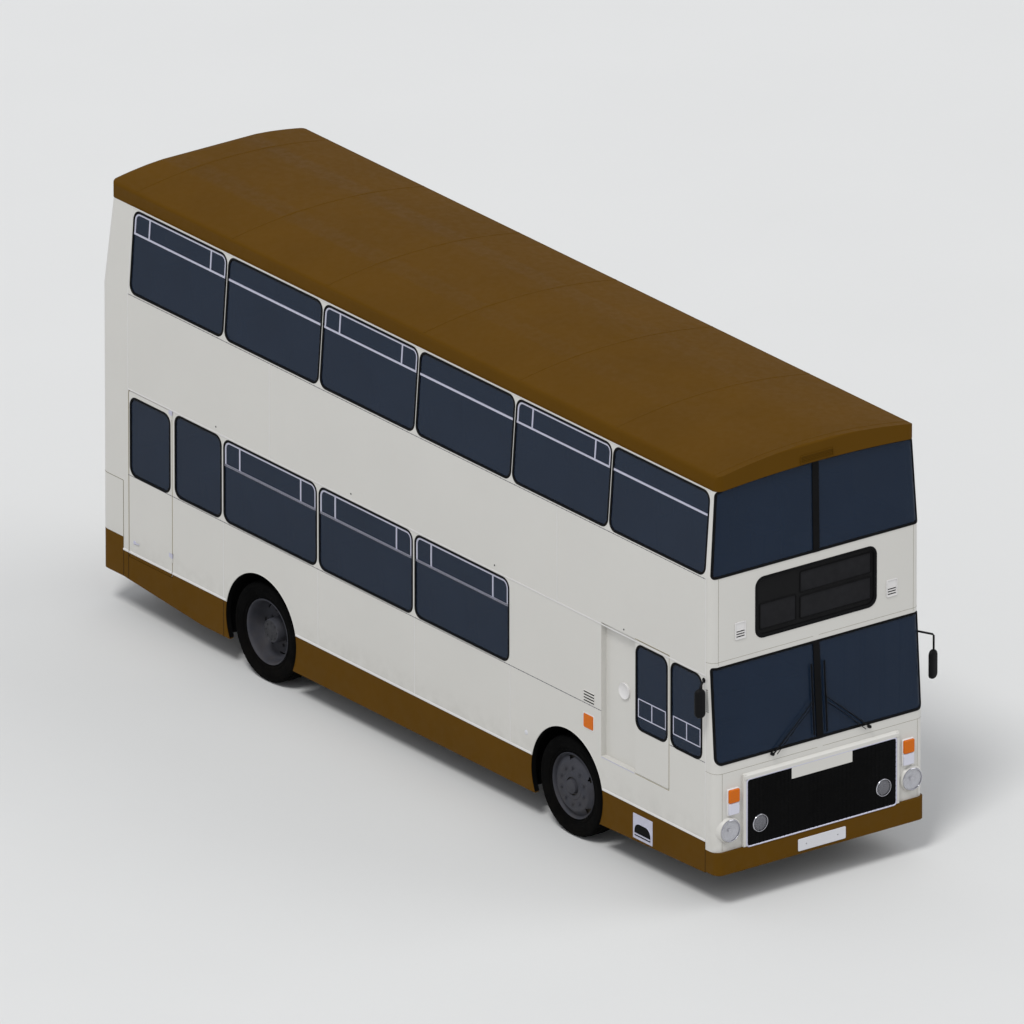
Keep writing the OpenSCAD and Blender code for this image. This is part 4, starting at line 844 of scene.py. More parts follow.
def add_screen_rubbers():
    """Black gaskets round both pairs of screens, the centre dividers, and the covers at the corners."""
    rubber, cover, ticks = Shape(), Shape(), Shape()
    brow_end = screen_top(screen_length(CANT_Z))
    screens = ((DASH_TOP, BAND_LOW, 0.070, 0.022, False), (BAND_TOP, brow_end, 0.030, 0.050, True))
    for s in SIDES.values():
        at = on_front(s)
        for z0, z1, low_r, top_r, upper in screens:
            rubber.seal(at, screen_outline(z0, z1, low_r, top_r, upper), -0.014, 0.014, -0.007, 0.005, closed=False)
            corner_cover(at, z0, z1, low_r, top_r, cover)
        for k in range(12):
            # Black bars on the corner posts: painted shade in their slots.
            ticks.bar(at, 1.90, 2.70, 2.020 + 0.020 * k, 2.028 + 0.020 * k, 0.0, 0.0022)
    make("screen_corner_covers", cover, CREAM, angle=50)
    make("corner_post_slots_painted_shade", ticks, RUBBER)
    for z0, z1 in ((DASH_TOP - 0.012, BAND_LOW + 0.012), (BAND_TOP - 0.012, SCREEN_TOP - 0.004)):
        rubber.upright(lambda d, x, z: Vector((x, screen_y(z) - d, z)), 0.0, POST_HALF + 0.003, z0, z1, -0.004, 0.005)
    make("screen_rubbers", rubber, RUBBER, angle=50)


def add_front_panels():
    """The surround and lip of the grille, the panel joints, and the small louvred vents beside the blind box."""
    cream, seam, vents, dark = (Shape() for _ in range(4))
    dash, band = on_plane_y(DASH_Y), on_plane_y(BAND_Y)
    a0, a1, z0, z1 = GRILLE
    lip = [(0.0, 0.062), (0.022, 0.055), (0.036, 0.040), (0.036, 0.004), (0.0, 0.002)]
    cream.ridge(dash, a0 - 0.035, a1 + 0.035, z1, lip)
    for x0, x1 in ((a0 - 0.040, a0 - 0.004), (a1 + 0.004, a1 + 0.040)):
        cream.bar(dash, x0, x1, z0 + 0.002, z1 + 0.058, 0.0, 0.030)
    cream.upright(on_plane_y(GRILLE_Y), 0.0, TAB_HALF, z1 - TAB_H, z1 + 0.004, 0.0, 0.006)
    make("grille_surround", cream, CREAM, bevel=0.004)
    for s in SIDES.values():
        for path in ([(t, NOSE_SEAM_Z) for t in ACROSS], [(1.02, 0.600 + 0.2 * k) for k in range(5)],
                     [(t, BAND_LOW + 0.060) for t in ACROSS], [(1.0, BAND_LOW + 0.03 + 0.3 * k) for k in range(4)]):
            seam.seal(on_front(s), path, -0.0015, 0.0015, -0.001, 0.0008, closed=False)
    make("front_panel_seams", seam, SEAM)
    for s in SIDES.values():
        box = (s * 0.912 - 0.065, s * 0.912 + 0.065, 2.715, 2.890)
        vents.plate(band, rounded(box, 0.010, n=3), 0.0, 0.003, 0.001)
        vents.holed_plate(band, rounded(box, 0.010, n=3), rounded(box, 0.006, grow=-0.009, n=3), 0.003, 0.008)
        for k in range(3):
            z = box[2] + 0.022 + 0.026 * k
            # Black bars behind the louvre blades: painted shade in the vent's openings.
            dark.bar(band, box[0] + 0.018, box[1] - 0.018, z, z + 0.013, 0.0025, 0.004)
            vents.bar(band, box[0] + 0.016, box[1] - 0.016, z + 0.013, z + 0.017, 0.0025, 0.008)
    make("band_vents", vents, TRIM)
    make("band_vent_slots_painted_shade", dark, RUBBER)


def add_brow_vent():
    """The small slotted air intake in the roof's front edge."""
    at, shape = on_plane_y(ROOF_ENDS[0][0]), Shape()
    box = (-0.200, 0.200, 4.345, 4.425)
    shape.holed_plate(at, rounded(box, 0.012, n=3), rounded(box, 0.008, grow=-0.008, n=3), 0.0, 0.008)
    for k in range(4):
        z = box[2] + 0.014 + 0.016 * k
        shape.bar(at, box[0] + 0.008, box[1] - 0.008, z, z + 0.006, 0.0, 0.006)
    make("brow_vent", shape, BROWN)


def add_grille():
    """A fine black mesh, heavier bars between its squares, in a silver frame over a painted-shade radiator opening."""
    at = on_plane_y(GRILLE_Y)
    a0, a1, z0, z1 = GRILLE
    back, mesh, rim = Shape(), Shape(), Shape()
    columns, rows, coarse_every = 108, 42, 3
    # A black plate just behind the mesh: painted shade in the radiator opening.
    back.plate(at, rounded((a0 + 0.004, a1 - 0.004, z0 + 0.004, z1 - 0.004), 0.024, n=4), -0.002, 0.0006)
    make("grille_backing_painted_shade", back, RUBBER)
    for k in range(1, columns):
        x = a0 + (a1 - a0) * k / columns
        half, out = (0.0012, 0.0026) if k % coarse_every else (0.0022, 0.0050)
        top = z1 - (TAB_H if abs(x) < TAB_HALF else 0.006)
        mesh.upright(at, x, half, z0 + 0.006, top, 0.0, out)
    for k in range(1, rows):
        z = z0 + (z1 - z0) * k / rows
        half, out = (0.0012, 0.0030) if k % coarse_every else (0.0022, 0.0054)
        for x0, x1 in gaps(a0, a1, *([(-TAB_HALF, TAB_HALF)] if z > z1 - TAB_H else [])):
            mesh.bar(at, x0 + 0.004, x1 - 0.004, z - half, z + half, 0.0, out)
    make("grille_mesh", mesh, MESH)
    rim.seal(at, rounded(GRILLE, 0.030, grow=-0.001, n=5), -0.006, 0.012, -0.006, 0.007)
    make("grille_frame", rim, ALLOY)


def add_round_lamp(glass, bright, bowl, centre, r, depth):
    """A lamp: a bright rim, a bowl with its bulb shield, and a domed ribbed glass over them."""
    deep = min(depth - 0.002, 0.026)
    for shape, n, profile in (
            (bright, 48, [(0.88, -0.002), (0.91, 0.006), (0.96, 0.007), (1, 0.002), (1, -depth), (0.96, -depth)]),
            (glass, 48, [(0, 0.008), (0.3, 0.007), (0.6, 0.004), (0.8, 0.000), (0.89, -0.004)]),
            (bowl, 48, [(0.89, -0.006), (0.75, -0.35 * deep - 0.004), (0.5, -0.8 * deep), (0.2, -deep), (0, -deep)]),
            (bowl, 24, [(0, -0.0045), (0.10, -0.0045), (0.16, -0.007), (0.18, -0.9 * deep)])):
        shape.lathe([(k * r or 1e-4, h) for k, h in profile], centre, (0, -1, 0), n)


def add_lamps():
    """The round headlamps and inner lamps with their pods, and the block lamps on the front, sides and rear."""
    bright, glass, bowl, pods, blocks, frames = (Shape() for _ in range(6))
    pod = [(0.117, 0.000), (0.122, -0.002), (0.126, -0.012), (0.140, -0.040), (0.142, -0.110), (0.117, -0.110)]
    head_x, inner_x, lamp_z = 1.098, 0.744, 0.803
    for s in SIDES.values():
        add_round_lamp(glass, bright, bowl, (s * head_x, -4.987, lamp_z), 0.116, 0.034)
        add_round_lamp(glass, bright, bowl, (s * inner_x, -4.990, lamp_z), 0.091, 0.010)
        pods.lathe(pod, (s * head_x, -4.983, lamp_z), (0, -1, 0), 48)
    make("lamp_bezels", bright, CHROME, replaces=("lamps",))
    make("lamp_glasses", glass, LAMP_GLASS, angle=60)
    make("lamp_bowls", bowl, BOWL, angle=60)
    make("headlamp_pods", pods, CREAM, angle=50)
    amber, white, red = range(3)

    def block(shape, at, box, depth, edge=0.006):
        shape.plate(at, rounded(box, 0.012, n=3), 0.0, depth, edge)

    dash = on_plane_y(DASH_Y)
    for s in SIDES.values():
        x, at = s * 1.055, on_side(s)
        block(frames, dash, (x - 0.070, x + 0.070, 0.955, 1.228), 0.018, 0.005)
        block(blocks.use(amber), dash, (x - 0.063, x + 0.063, 1.086, 1.222), 0.040)
        block(blocks.use(white), dash, (x - 0.063, x + 0.063, 0.962, 1.080), 0.036)
        block(frames, at, (-3.024, -2.846, 1.224, 1.392), 0.003, 0.001)
        block(blocks.use(amber), at, (-3.012, -2.858, 1.236, 1.380), 0.010)
        for z, colour in ((0.905, red), (1.052, red), (1.199, amber)):
            block(blocks.use(colour), on_rear, (s * 1.080 - 0.066, s * 1.080 + 0.066, z, z + 0.137), 0.010)
    make("lamp_blocks", blocks, [AMBER, WHITE_LENS, RED])
    make("lamp_block_frames", frames, TRIM)


def add_plate(name, at, window, out):
    """A blank number plate with a raised rim and two screws."""
    shape = Shape()
    shape.plate(at, rounded(window, 0.012, n=4), 0.0, out, 0.002)
    shape.use(1)
    for x in (-0.19, 0.19):
        centre = at(out, x, (window[2] + window[3]) / 2)
        shape.dome(centre, at(out + 1, x, 0) - at(out, x, 0), 0.007, 0.003, 12)
    return make(name, shape, [WHITE, STEEL])


def add_destination_glazing():
    """A black surround with three blank apertures: a number at one end, and two wide ones stacked."""
    at = on_plane_y(BAND_Y + 0.004)
    a0, a1, z0, z1 = DEST
    panes, frames = Shape(), Shape()
    number = (a0 + 0.055, a0 + 0.485, z0 + 0.075, z0 + 0.335)
    upper = (a0 + 0.540, a1 - 0.055, z0 + 0.345, z1 - 0.060)
    lower = (a0 + 0.540, a1 - 0.055, z0 + 0.075, z0 + 0.300)
    frames.seal(on_plane_y(BAND_Y), rounded(DEST), -0.024, 0.014, -0.008, 0.005)
    for window in (number, upper, lower):
        frames.seal(at, rounded(window, 0.015, n=3), -0.006, 0.010, -0.010, 0.000)
        panes.plate(at, rounded(window, 0.015, n=3), -0.0085, -0.0065)
    make("blind_frames", frames, RUBBER)
    make("blinds", panes, BLIND)


def add_wiper(shape, s):
    """A wiper: its spindle, an arm and a lighter second rod, and an upright blade with its carrier."""
    pivot = Vector((s * 0.585, -4.979, 1.470))
    tip = Vector((s * 0.078, screen_y(1.90) - 0.030, 1.900))
    shape.lathe([(1e-4, 0.012), (0.012, 0.012), (0.016, 0.006), (0.018, -0.022)], pivot, (0, -1, 0), 20)
    bend, proud = pivot + Vector((-s * 0.035, -0.004, 0.030)), Vector((0, -0.004, 0))
    shape.tube([pivot + proud, bend, bend.lerp(tip, 0.5) + proud, tip], [0.009, 0.007, 0.006, 0.005])
    second = pivot + Vector((-s * 0.050, 0.0, -0.012))
    shape.tube([second, second.lerp(tip, 0.5) + Vector((0, -0.003, -0.012)), tip + Vector((0, 0, -0.050))], 0.004)
    for k in (-1, 1):
        rise = [(tip.z + k * dz, 0.022 - 0.003 * i) for i, dz in enumerate((0, 0.20, 0.30))]
        shape.tube([Vector((tip.x, screen_y(z) - d, z)) for z, d in rise], [0.007, 0.005, 0.004], 8)
    section = [(-0.007, 0.018), (0.007, 0.018), (0.004, 0.008), (0.001, 0.002), (-0.001, 0.002), (-0.004, 0.008)]
    heights = [1.54 + 0.72 * k / 8 for k in range(9)]
    shape.use(1).loft([[Vector((tip.x + dx, screen_y(z) - dy, z)) for dx, dy in section] for z in heights])
    shape.use(0)


def add_mirror(name, s, elbow, drop):
    """A mirror hung below the elbow of a bent arm, turned towards the driver."""
    shape = Shape()
    elbow = Vector(elbow)
    root = Vector((s * (HALF_W - 0.002), CORNER_Y + 0.025, elbow.z + 0.010))
    head = elbow - Vector((0, 0, drop))
    arm = [root, root.lerp(elbow, 0.5), root.lerp(elbow, 0.94), elbow - Vector((0, 0, 0.012))]
    shape.tube(arm + [elbow.lerp(head, 0.5), head - Vector((0, 0, 0.12))], 0.0105, 12)
    shape.lathe([(1e-4, 0.010), (0.020, 0.010), (0.026, 0.004), (0.027, -0.002)], root, (s, 0, 0), 20)
    turn = Matrix.Rotation(math.radians(15 * s), 3, "Z")
    face = lambda d, a, z: head + turn @ Vector((a, -d, z))
    outline = rounded((-0.055, 0.055, -0.150, 0.150), 0.050, n=8)
    loops = [(0.0, -0.021), (0.0, -0.004), (0.004, 0.007), (0.013, 0.016), (0.028, 0.021)]
    shape.loft([[face(d, *p) for p in shrink(outline, cut)] for cut, d in loops])
    shape.use(1).loft([[face(d, *p) for p in shrink(outline, 0.007)] for d in (-0.0205, -0.0218)])
    shape.use(0)
    for dz in (-0.05, 0.05):
        shape.tube([face(0.0, -0.018, dz), face(0.0, 0.018, dz)], 0.015, 12)
    return make(name, shape, [PLASTIC, MIRROR])


def add_front():
    add_screen_rubbers()
    add_front_panels()
    add_brow_vent()
    add_grille()
    add_lamps()
    front_plate = add_plate("front_number_plate", on_plane_y(-4.987), (-0.287, 0.287, 0.391, 0.515), 0.006)
    add_plate("rear_number_plate", on_rear, (-0.287, 0.287, 0.867, 0.991), 0.006)
    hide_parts("number_plates")
    add_destination_glazing()
    wipers = Shape()
    for s in SIDES.values():
        add_wiper(wipers, s)
    make("wiper_arms", wipers, [PLASTIC, RUBBER], replaces=("wipers",))
    offside = add_mirror("offside_mirror", OFFSIDE, (-1.371, -4.859, 2.322), 0.180)
    add_mirror("nearside_mirror", NEARSIDE, (1.371, -4.955, 2.230), 0.310)
    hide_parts("mirrors")


add_front()


# ---------------------------------------------------------------- small details on the sides

def add_offside_details():
    """The cab side's grab dish, step and louvres, the reflector and drain holes, and the door openings' seals."""
    at = on_side(OFFSIDE)
    dish, light, dark, louvres, slots, small, dots, edge = (Shape() for _ in range(8))
    dish.lathe([(1e-4, 0.004), (0.045, 0.006), (0.070, 0.014), (0.080, 0.020), (0.0835, 0.016), (0.0835, 0.0)],
               (OFFSIDE * (HALF_W - 0.062), -3.435, 1.775), (OFFSIDE, 0, 0), 40)
    make("cab_side_grab_dish", dish, TRIM)
    light.plate(at, rounded((-3.958, -3.648, 0.343, 0.600), 0.006, n=4), 0.0, 0.004, 0.002)
    hole = rounded((-3.930, -3.672, 0.372, 0.505), 0.080, r_low=0.012)
    # A black plate in the step's hole: painted shade in the recess.
    dark.plate(at, hole, 0.0035, 0.0045)
    light.seal(at, hole, -0.001, 0.005, 0.002, 0.007)
    light.bar(at, -3.926, -3.676, 0.392, 0.404, 0.0042, 0.012)
    light.bar(at, -3.664, -3.137, 1.006, 1.013, 0.0, 0.002)
    make("cab_step_frame", light, ALLOY)
    make("cab_step_recess_painted_shade", dark, RUBBER)
    for k in range(4):
        z = 1.517 + 0.030 * k
        # Black bars under the louvres: painted shade in their openings.
        slots.bar(at, -3.020, -2.860, z - 0.006, z + 0.009, 0.0, 0.003)
        louvres.ridge(at, -3.025, -2.855, z, [(0.0, 0.009), (0.008, 0.009), (0.009, 0.012), (0.0, 0.018)])
    make("cab_side_louvres", louvres, CREAM)
    make("cab_side_louvre_slots_painted_shade", slots, RUBBER)
    small.dome(at(0.0, -1.935, 0.873), (OFFSIDE, 0, 0), 0.025, 0.006, 24)
    make("side_reflector", small, WHITE)
    for s in SIDES.values():
        for y in (3.095, 0.895, -1.425, -3.495):
            # Black domes for the drain holes: painted shade of the holes.
            dots.dome(on_side(s)(0.0, y, 2.445), (s, 0, 0), 0.009, 0.004, 12)
    make("side_drain_holes_painted_shade", dots, RUBBER)
    y0, y1, z0, z1 = CAB_DOOR[0] - 0.006, CAB_DOOR[1], CAB_DOOR[2] - 0.009, CAB_DOOR[3] + 0.008
    door = (EXIT_DOOR[0] - 0.006, EXIT_DOOR[1] + 0.006, EXIT_DOOR[2] - 0.006, EXIT_DOOR[3] + 0.006)
    top = [(y, z) for y, z in rounded(door, 0.030, n=3) if z > 1.0]
    for path in ([(y1, z1), (y0, z1), (y0, z0), (y1, z0)], [(door[1], STRIP_TOP)] + top + [(door[0], STRIP_TOP)]):
        edge.seal(at, path, -0.002, 0.004, -0.002, 0.0015, closed=False)
    make("door_opening_seals", edge, OLIVE)


add_offside_details()


# ---------------------------------------------------------------- doors and exits, each on its own body

def add_glazed_door(name, body, at, door, window, r_door, depth, glass=(-0.014, -0.006)):
    """A door on its own body: a panel with a rounded window opening, its pane, and the gasket between them."""
    panel, pane, rubber = Shape(), Shape(), Shape()
    panel.holed_plate(at, rounded(door, r_door), rounded(window), -depth, 0.0)
    make(name + "_panel", panel, CREAM, body, replaces=(body,), bevel=0.002)
    pane.plate(at, rounded(window, WIN_R, -0.0005), *glass)
    make(name + "_glass", pane, GLASS, body)
    add_rubber(rubber, at, window)
    make(name + "_rubber", rubber, RUBBER, body)


def add_cab_door():
    at, alloy = on_side(OFFSIDE), Shape()
    add_glazed_door("cab_door", "cab_door", at, CAB_DOOR, CAB_DOOR_WINDOW, 0.015, 0.050)
    add_slider(alloy, at, CAB_DOOR_WINDOW)
    make("cab_door_lights", alloy, ALLOY, "cab_door")


def add_emergency_door():
    """The emergency door, with the skirt's colour and strip carried across its foot, its handle and hinges."""
    body, at = "emergency_door", on_side(OFFSIDE)
    foot, strip, fittings = Shape(), Shape(), Shape()
    add_glazed_door(body, body, at, EXIT_DOOR, EXIT_DOOR_WINDOW, 0.025, 0.050)
    y0, y1 = EXIT_DOOR[0] + 0.0005, EXIT_DOOR[1] - 0.0005
    foot.plate(at, rounded((y0, y1, EXIT_DOOR[2] + 0.0005, SKIRT_TOP), 0.001, r_low=0.025), -0.001, 0.0012)
    make("emergency_door_foot", foot, BROWN, body)
    strip.ridge(at, y0 + 0.004, y1 - 0.004, 0.0, RUBBING_STRIP)
    strip.use(1).bar(at, y0 + 0.002, y1 - 0.002, WAIST_SEAM_Z - SEAM_HALF, WAIST_SEAM_Z + SEAM_HALF, -0.001, 0.0012)
    make("emergency_door_strip", strip, [TRIM, DARK_SEAM], body)
    knob = at(-0.002, 4.435, 0.800)
    fittings.lathe([(1e-4, 0.006), (0.018, 0.006), (0.022, 0.002), (0.022, -0.001)], knob, (OFFSIDE, 0, 0), 20)
    lever = [knob + Vector((OFFSIDE * 0.010, y, z)) for y, z in ((0, 0), (-0.030, 0.0), (-0.080, 0.004))]
    fittings.tube([knob] + lever, [0.007, 0.007, 0.006, 0.005])
    for z in (0.790, 2.290):
        fittings.knuckle((-1.264, 3.8155, z + 0.0453))
        fittings.plate(at, rounded((3.820, 3.868, z + 0.046, z + 0.089), 0.006, n=3), 0.0, 0.0035, 0.001)
    make("emergency_door_fittings", fittings, ALLOY, body)


def add_entrance_leaf(pair, part):
    """One folding leaf: a black frame, a tall pane, a rubber edge, and its knuckles on the pair's fold line."""
    body, at = f"entrance_{pair}_{part}", on_side(NEARSIDE)
    y0, y1 = (corner.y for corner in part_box(body))
    fold_behind = (pair == "front") == (part == "leaf")
    # The node's box takes in its knuckles, which stand past the panel on the side of the fold.
    if fold_behind:
        y1 -= KNUCKLE_R + 0.001
    else:
        y0 += KNUCKLE_R + 0.001
    leaf, window = (y0, y1, 0.370, 2.330), (y0 + 0.035, y1 - 0.035, 0.430, 2.270)
    panel, glass, rubber = Shape(), Shape(), Shape()
    panel.holed_plate(at, rounded(leaf, 0.006), rounded(window, 0.040), -0.032, 0.0)
    for z in (0.570, 1.350, 2.030):
        panel.knuckle((HALF_W, y1 if fold_behind else y0, z if part == "leaf" else z + 0.0453))
    make(body + "_frame", panel, PLASTIC, body, replaces=(body,), bevel=0.002)
    glass.plate(at, rounded(window, 0.040, -0.0005), -0.022, -0.014)
    make(body + "_glass", glass, GLASS, body)
    rubber.seal(at, rounded(window, 0.040), -0.010, 0.006, -0.016, 0.001)
    make(body + "_rubber", rubber, RUBBER, body)


def add_rear():
    """The rear window's gasket, the upper exit with its hinges and handle, the panel joints and the louvres."""
    rubber, fittings, seam, vents = (Shape() for _ in range(4))
    add_rubber(rubber, on_rear, REAR_WINDOW)
    make("rear_window_rubber", rubber, RUBBER)
    a0, a1, z0, z1 = EXIT_WINDOW
    opening = (a0 + 0.035, a1 - 0.035, z0 + 0.035, z1 - 0.035)
    add_glazed_door("rear_exit", "rear_exit_window", on_rear, EXIT_WINDOW, opening, 0.020, 0.040, (-0.020, -0.012))
    hinge_z = z1 + 0.003
    for x in (-0.350, 0.350):
        fittings.knuckle(on_rear(0.004, x, hinge_z), (1, 0, 0), 0.045)
        hinge = (x + 0.002, x + 0.043, hinge_z - 0.045, hinge_z - 0.006)
        fittings.plate(on_rear, rounded(hinge, 0.006, n=3), 0.0, 0.0035, 0.001)
    handle = on_rear(0.0, 0.0, z0 + 0.018)
    grip = ((-0.06, 0.0), (-0.05, 0.016), (0.05, 0.016), (0.06, 0.0))
    fittings.tube([handle + Vector((x, out, 0)) for x, out in grip], 0.005)
    make("rear_exit_fittings", fittings, ALLOY, "rear_exit_window")
    for z in (NOSE_SEAM_Z, 2.410, 0.830):
        seam.bar(on_rear, -1.150, 1.150, z, z + 0.003, 0.0, 0.0007)
    seam.bar(on_rear, -1.150, 1.150, WAIST_Z + 0.001, WAIST_Z + 0.005, 0.0, 0.0007)
    for s in SIDES.values():
        seam.upright(on_rear, s * 0.980, 0.0015, 0.830, WAIST_Z, 0.0, 0.0007)
    make("rear_panel_seams", seam, SEAM)
    louvre = [(0.0, 0.0), (0.010, 0.003), (0.011, 0.007), (0.0, 0.020)]
    for k in range(9):
        vents.ridge(on_rear, -0.420, 0.420, 1.060 + 0.030 * k, louvre)
    make("rear_louvres", vents, CREAM)


add_cab_door()
add_emergency_door()
for pair in ("front", "rear"):
    for part in ("leaf", "fold"):
        add_entrance_leaf(pair, part)
add_rear()


# ---------------------------------------------------------------- wheels and tyres

RIM_BACK = [(0.300, -0.115), (RIM_R, -0.115), (RIM_R, -0.098), (0.318, -0.092)]
RIM_LIP = [(0.318, 0.088), (RIM_R - 0.001, 0.098), (RIM_R, 0.108), (0.330, 0.113)]
TREAD_STEPS = 168


def tyre_profile(k):
    """A tyre's section at step k: rounded walls, cut shoulder blocks and four grooves."""
    cut = 0.009 if k % 3 == 0 else 0.0
    rib = 0.006 if k % 3 == 1 else 0.0
    w = TYRE_HALF_W
    half = [(RIM_R + 0.002, 0.095), (RIM_R + 0.010, 0.112), (RIM_R + 0.020, 0.116), (0.385, 0.128), (0.430, 0.138),
            (0.455, w), (0.478, w - 0.003), (0.494 - cut * 0.4, w - 0.010), (0.503 - cut, w - 0.022),
            (0.5075 - cut, w - 0.034), (0.5085 - cut, 0.086),
            (0.5085, 0.086), (0.498, 0.083), (0.498, 0.077), (0.5095, 0.074), (0.5095 - rib * 0.5, 0.050),
            (0.5095, 0.036), (0.4985, 0.033), (0.4985, 0.027), (TYRE_R, 0.024)]
    return half + [(r, -h) for r, h in reversed(half)]


def add_tyre(name, body, s, y, centre_x, *node):
    """A tyre with its tread and two raised rings on each wall, in place of its node if one is given."""
    shape, centre = Shape(), (s * centre_x, y, TYRE_R)
    shape.lathe(tyre_profile, centre, (s, 0, 0), TREAD_STEPS, closed=True)
    for r, out in ((0.372, 0.1255), (0.446, TYRE_HALF_W - 0.0006)):
        for h in (-1, 1):
            ring = [(r - 0.003, h * out - h * 0.002), (r, h * out + h * 0.0015), (r + 0.003, h * out - h * 0.001)]
            shape.lathe(ring, centre, (s, 0, 0), 96)
    make(name, shape, TYRE, body, replaces=node, angle=40)


def add_nuts(shape, centre, s, r, x, count, size):
    """A ring of hexagon nuts on studs, each with a washer."""
    nut = [(1e-4, 0.018), (0.009, 0.018), (0.010, 0.014), (0.010, 0.011), (size, 0.011), (size, 0.002)]
    washer = [(size * 0.8, 0.004), (size * 1.35, 0.003), (size * 1.4, -0.002)]
    for k in range(count):
        t = math.tau * (k + 0.5) / count
        at = Vector(centre) + Vector((s * x, r * math.cos(t), r * math.sin(t)))
        shape.lathe(nut, at, (s, 0, 0), 6)
        shape.lathe(washer, at, (s, 0, 0), 16)


def add_front_wheel(name, s):
    """A convex steel wheel: rolled edge, vented cone, flat disc with ten nuts, and a hub cap."""
    body, centre, shape = name + "_front_wheel", (s * TRACK_X, FRONT_AXLE, TYRE_R), Shape()

    def turn(profile, n=48, **more):
        shape.lathe(profile, centre, (s, 0, 0), n, **more)

    def vent(i, j):
        near = min(i % 19, 19 - i % 19) if i < 95 else 9
        return 2 <= j <= 4 and near < (3, 2, 1)[j - 2]

    turn(RIM_BACK + [(0.310, 0.0)] + RIM_LIP + [(0.322, 0.106), (0.312, 0.078)], 96)
    cone = [(0.312, 0.078), (0.306, 0.072), (0.300, 0.074), (0.288, 0.084), (0.274, 0.097), (0.262, 0.108),
            (0.253, 0.1145), (0.246, 0.1165), (0.140, 0.1165), (0.134, 0.1215), (0.126, 0.1225), (0.118, 0.1215),
            (0.092, 0.1215)]
    turn(cone, 95, skip=vent)
    turn([(0.078, 0.104), (0.074, 0.128), (0.072, 0.140), (0.064, 0.144), (0.030, 0.145), (1e-4, 0.146)])
    add_nuts(shape, centre, s, 0.186, 0.1165, 10, 0.015)
    shape.use(1)
    turn([(0.092, 0.1215), (0.090, 0.106), (0.076, 0.104)])
    turn([(0.300, -0.10), (0.300, 0.060), (0.220, 0.066), (0.08, 0.066)])
    make(name + "_front_wheel_disc", shape, [WHEEL, CHASSIS], body, replaces=(name + "_front_rim",))
    add_tyre(name + "_front_tread", body, s, FRONT_AXLE, TRACK_X, name + "_front_tyre")


def add_rear_wheels(name, s):
    """Twin rear wheels: a deep dished outer wheel, the hub with its flange nuts, and the inner wheel."""
    body, centre, shape = name + "_rear_wheels", (s * TRACK_X, REAR_AXLE, TYRE_R), Shape()

    def turn(profile, n=64, **more):
        shape.lathe(profile, centre, (s, 0, 0), n, **more)

    def vent(i, j):
        return j == 14 and min(i % 12, 12 - i % 12) < 3

    dish = RIM_BACK + [(0.312, 0.0)] + RIM_LIP + [
        (0.322, 0.108), (0.312, 0.092), (0.306, 0.050), (0.298, -0.004), (0.284, -0.040), (0.266, -0.064),
        (0.257, -0.072), (0.240, -0.080), (0.215, -0.086), (0.140, -0.090), (0.132, -0.084)]
    turn(dish, 96, skip=vent)
    turn([(0.134, -0.088), (0.128, -0.070), (0.124, -0.010), (0.120, 0.056), (0.114, 0.066), (0.108, 0.068)])
    shape.use(2)
    turn([(0.108, 0.068), (0.104, 0.0645), (0.060, 0.0645), (0.052, 0.069), (0.020, 0.071), (1e-4, 0.071)])
    add_nuts(shape, centre, s, 0.186, -0.090, 10, 0.015)
    for k in range(8):
        t = math.tau * k / 8
        at = Vector(centre) + Vector((s * 0.0645, 0.084 * math.cos(t), 0.084 * math.sin(t)))
        shape.lathe([(1e-4, 0.007), (0.008, 0.007), (0.0085, -0.002)], at, (s, 0, 0), 6)
    inner = [(r, -h) for r, h in RIM_BACK] + [
        (0.312, 0.0), (0.318, -0.088), (RIM_R, -0.100), (RIM_R, -0.113), (0.322, -0.108), (0.308, -0.060),
        (0.300, 0.020), (0.270, 0.082), (0.236, 0.092), (0.110, 0.092)]
    shape.lathe(inner, (s * INNER_X, REAR_AXLE, TYRE_R), (s, 0, 0), 96)
    shape.use(1)
    turn([(0.285, -0.200), (0.285, -0.120), (0.200, -0.100), (0.100, -0.100)], 48)
    make(name + "_rear_wheel_discs", shape, [WHEEL, CHASSIS, HUB], body, replaces=(name + "_rear_rims",))
    add_tyre(name + "_rear_outer_tread", body, s, REAR_AXLE, TRACK_X, name + "_rear_tyres")
    add_tyre(name + "_rear_inner_tread", body, s, REAR_AXLE, INNER_X)


for side, sign in SIDES.items():
    add_front_wheel(side, sign)
    add_rear_wheels(side, sign)


# ---------------------------------------------------------------- seats

PITCH, AISLE_HALF = 0.740, 0.345
BENCH_HALF, DRIVER_HALF = 0.4325, 0.235
SQUAB_AT, BACK_AT = (-0.015, 0.412), (0.236, 0.690)     # the cushions' middles, as (y, z) from a seat's foot
BACK_TILT = math.atan2(0.070, 0.530)


def pillow(half, crown, pull=0.012, n=(14, 12)):
    """A closed cushion about the origin: crowned top and bottom, with sides that pull in between its corners."""
    hx, hy, hz = half
    nu, nv = n
    points, faces, index = [], [], {}
    for layer in (1, -1):
        for i in range(nu + 1):
            for j in range(nv + 1):
                u, v = (math.sin((2 * k / m - 1) * math.pi / 2) for k, m in ((i, nu), (j, nv)))
                if layer < 0 and max(abs(u), abs(v)) > 0.9999:
                    index[(layer, i, j)] = index[(1, i, j)]
                    continue
                x = u * (hx - pull * (1 - v * v) * abs(u))
                y = v * (hy - pull * (1 - u * u) * abs(v))
                swell = ((1 - abs(u) ** 7) * (1 - abs(v) ** 7)) ** 0.38
                dome = (1 - u * u) * (1 - v * v)
                z = layer * (hz - crown) * swell + (crown * dome if layer > 0 else -0.25 * crown * dome)
                index[(layer, i, j)] = len(points)
                points.append((x, y, z))
        for i in range(nu):
            for j in range(nv):
                quad = [index[(layer, *corner)] for corner in ((i, j), (i + 1, j), (i + 1, j + 1), (i, j + 1))]
                faces.append(quad if layer > 0 else quad[::-1])
    return points, faces


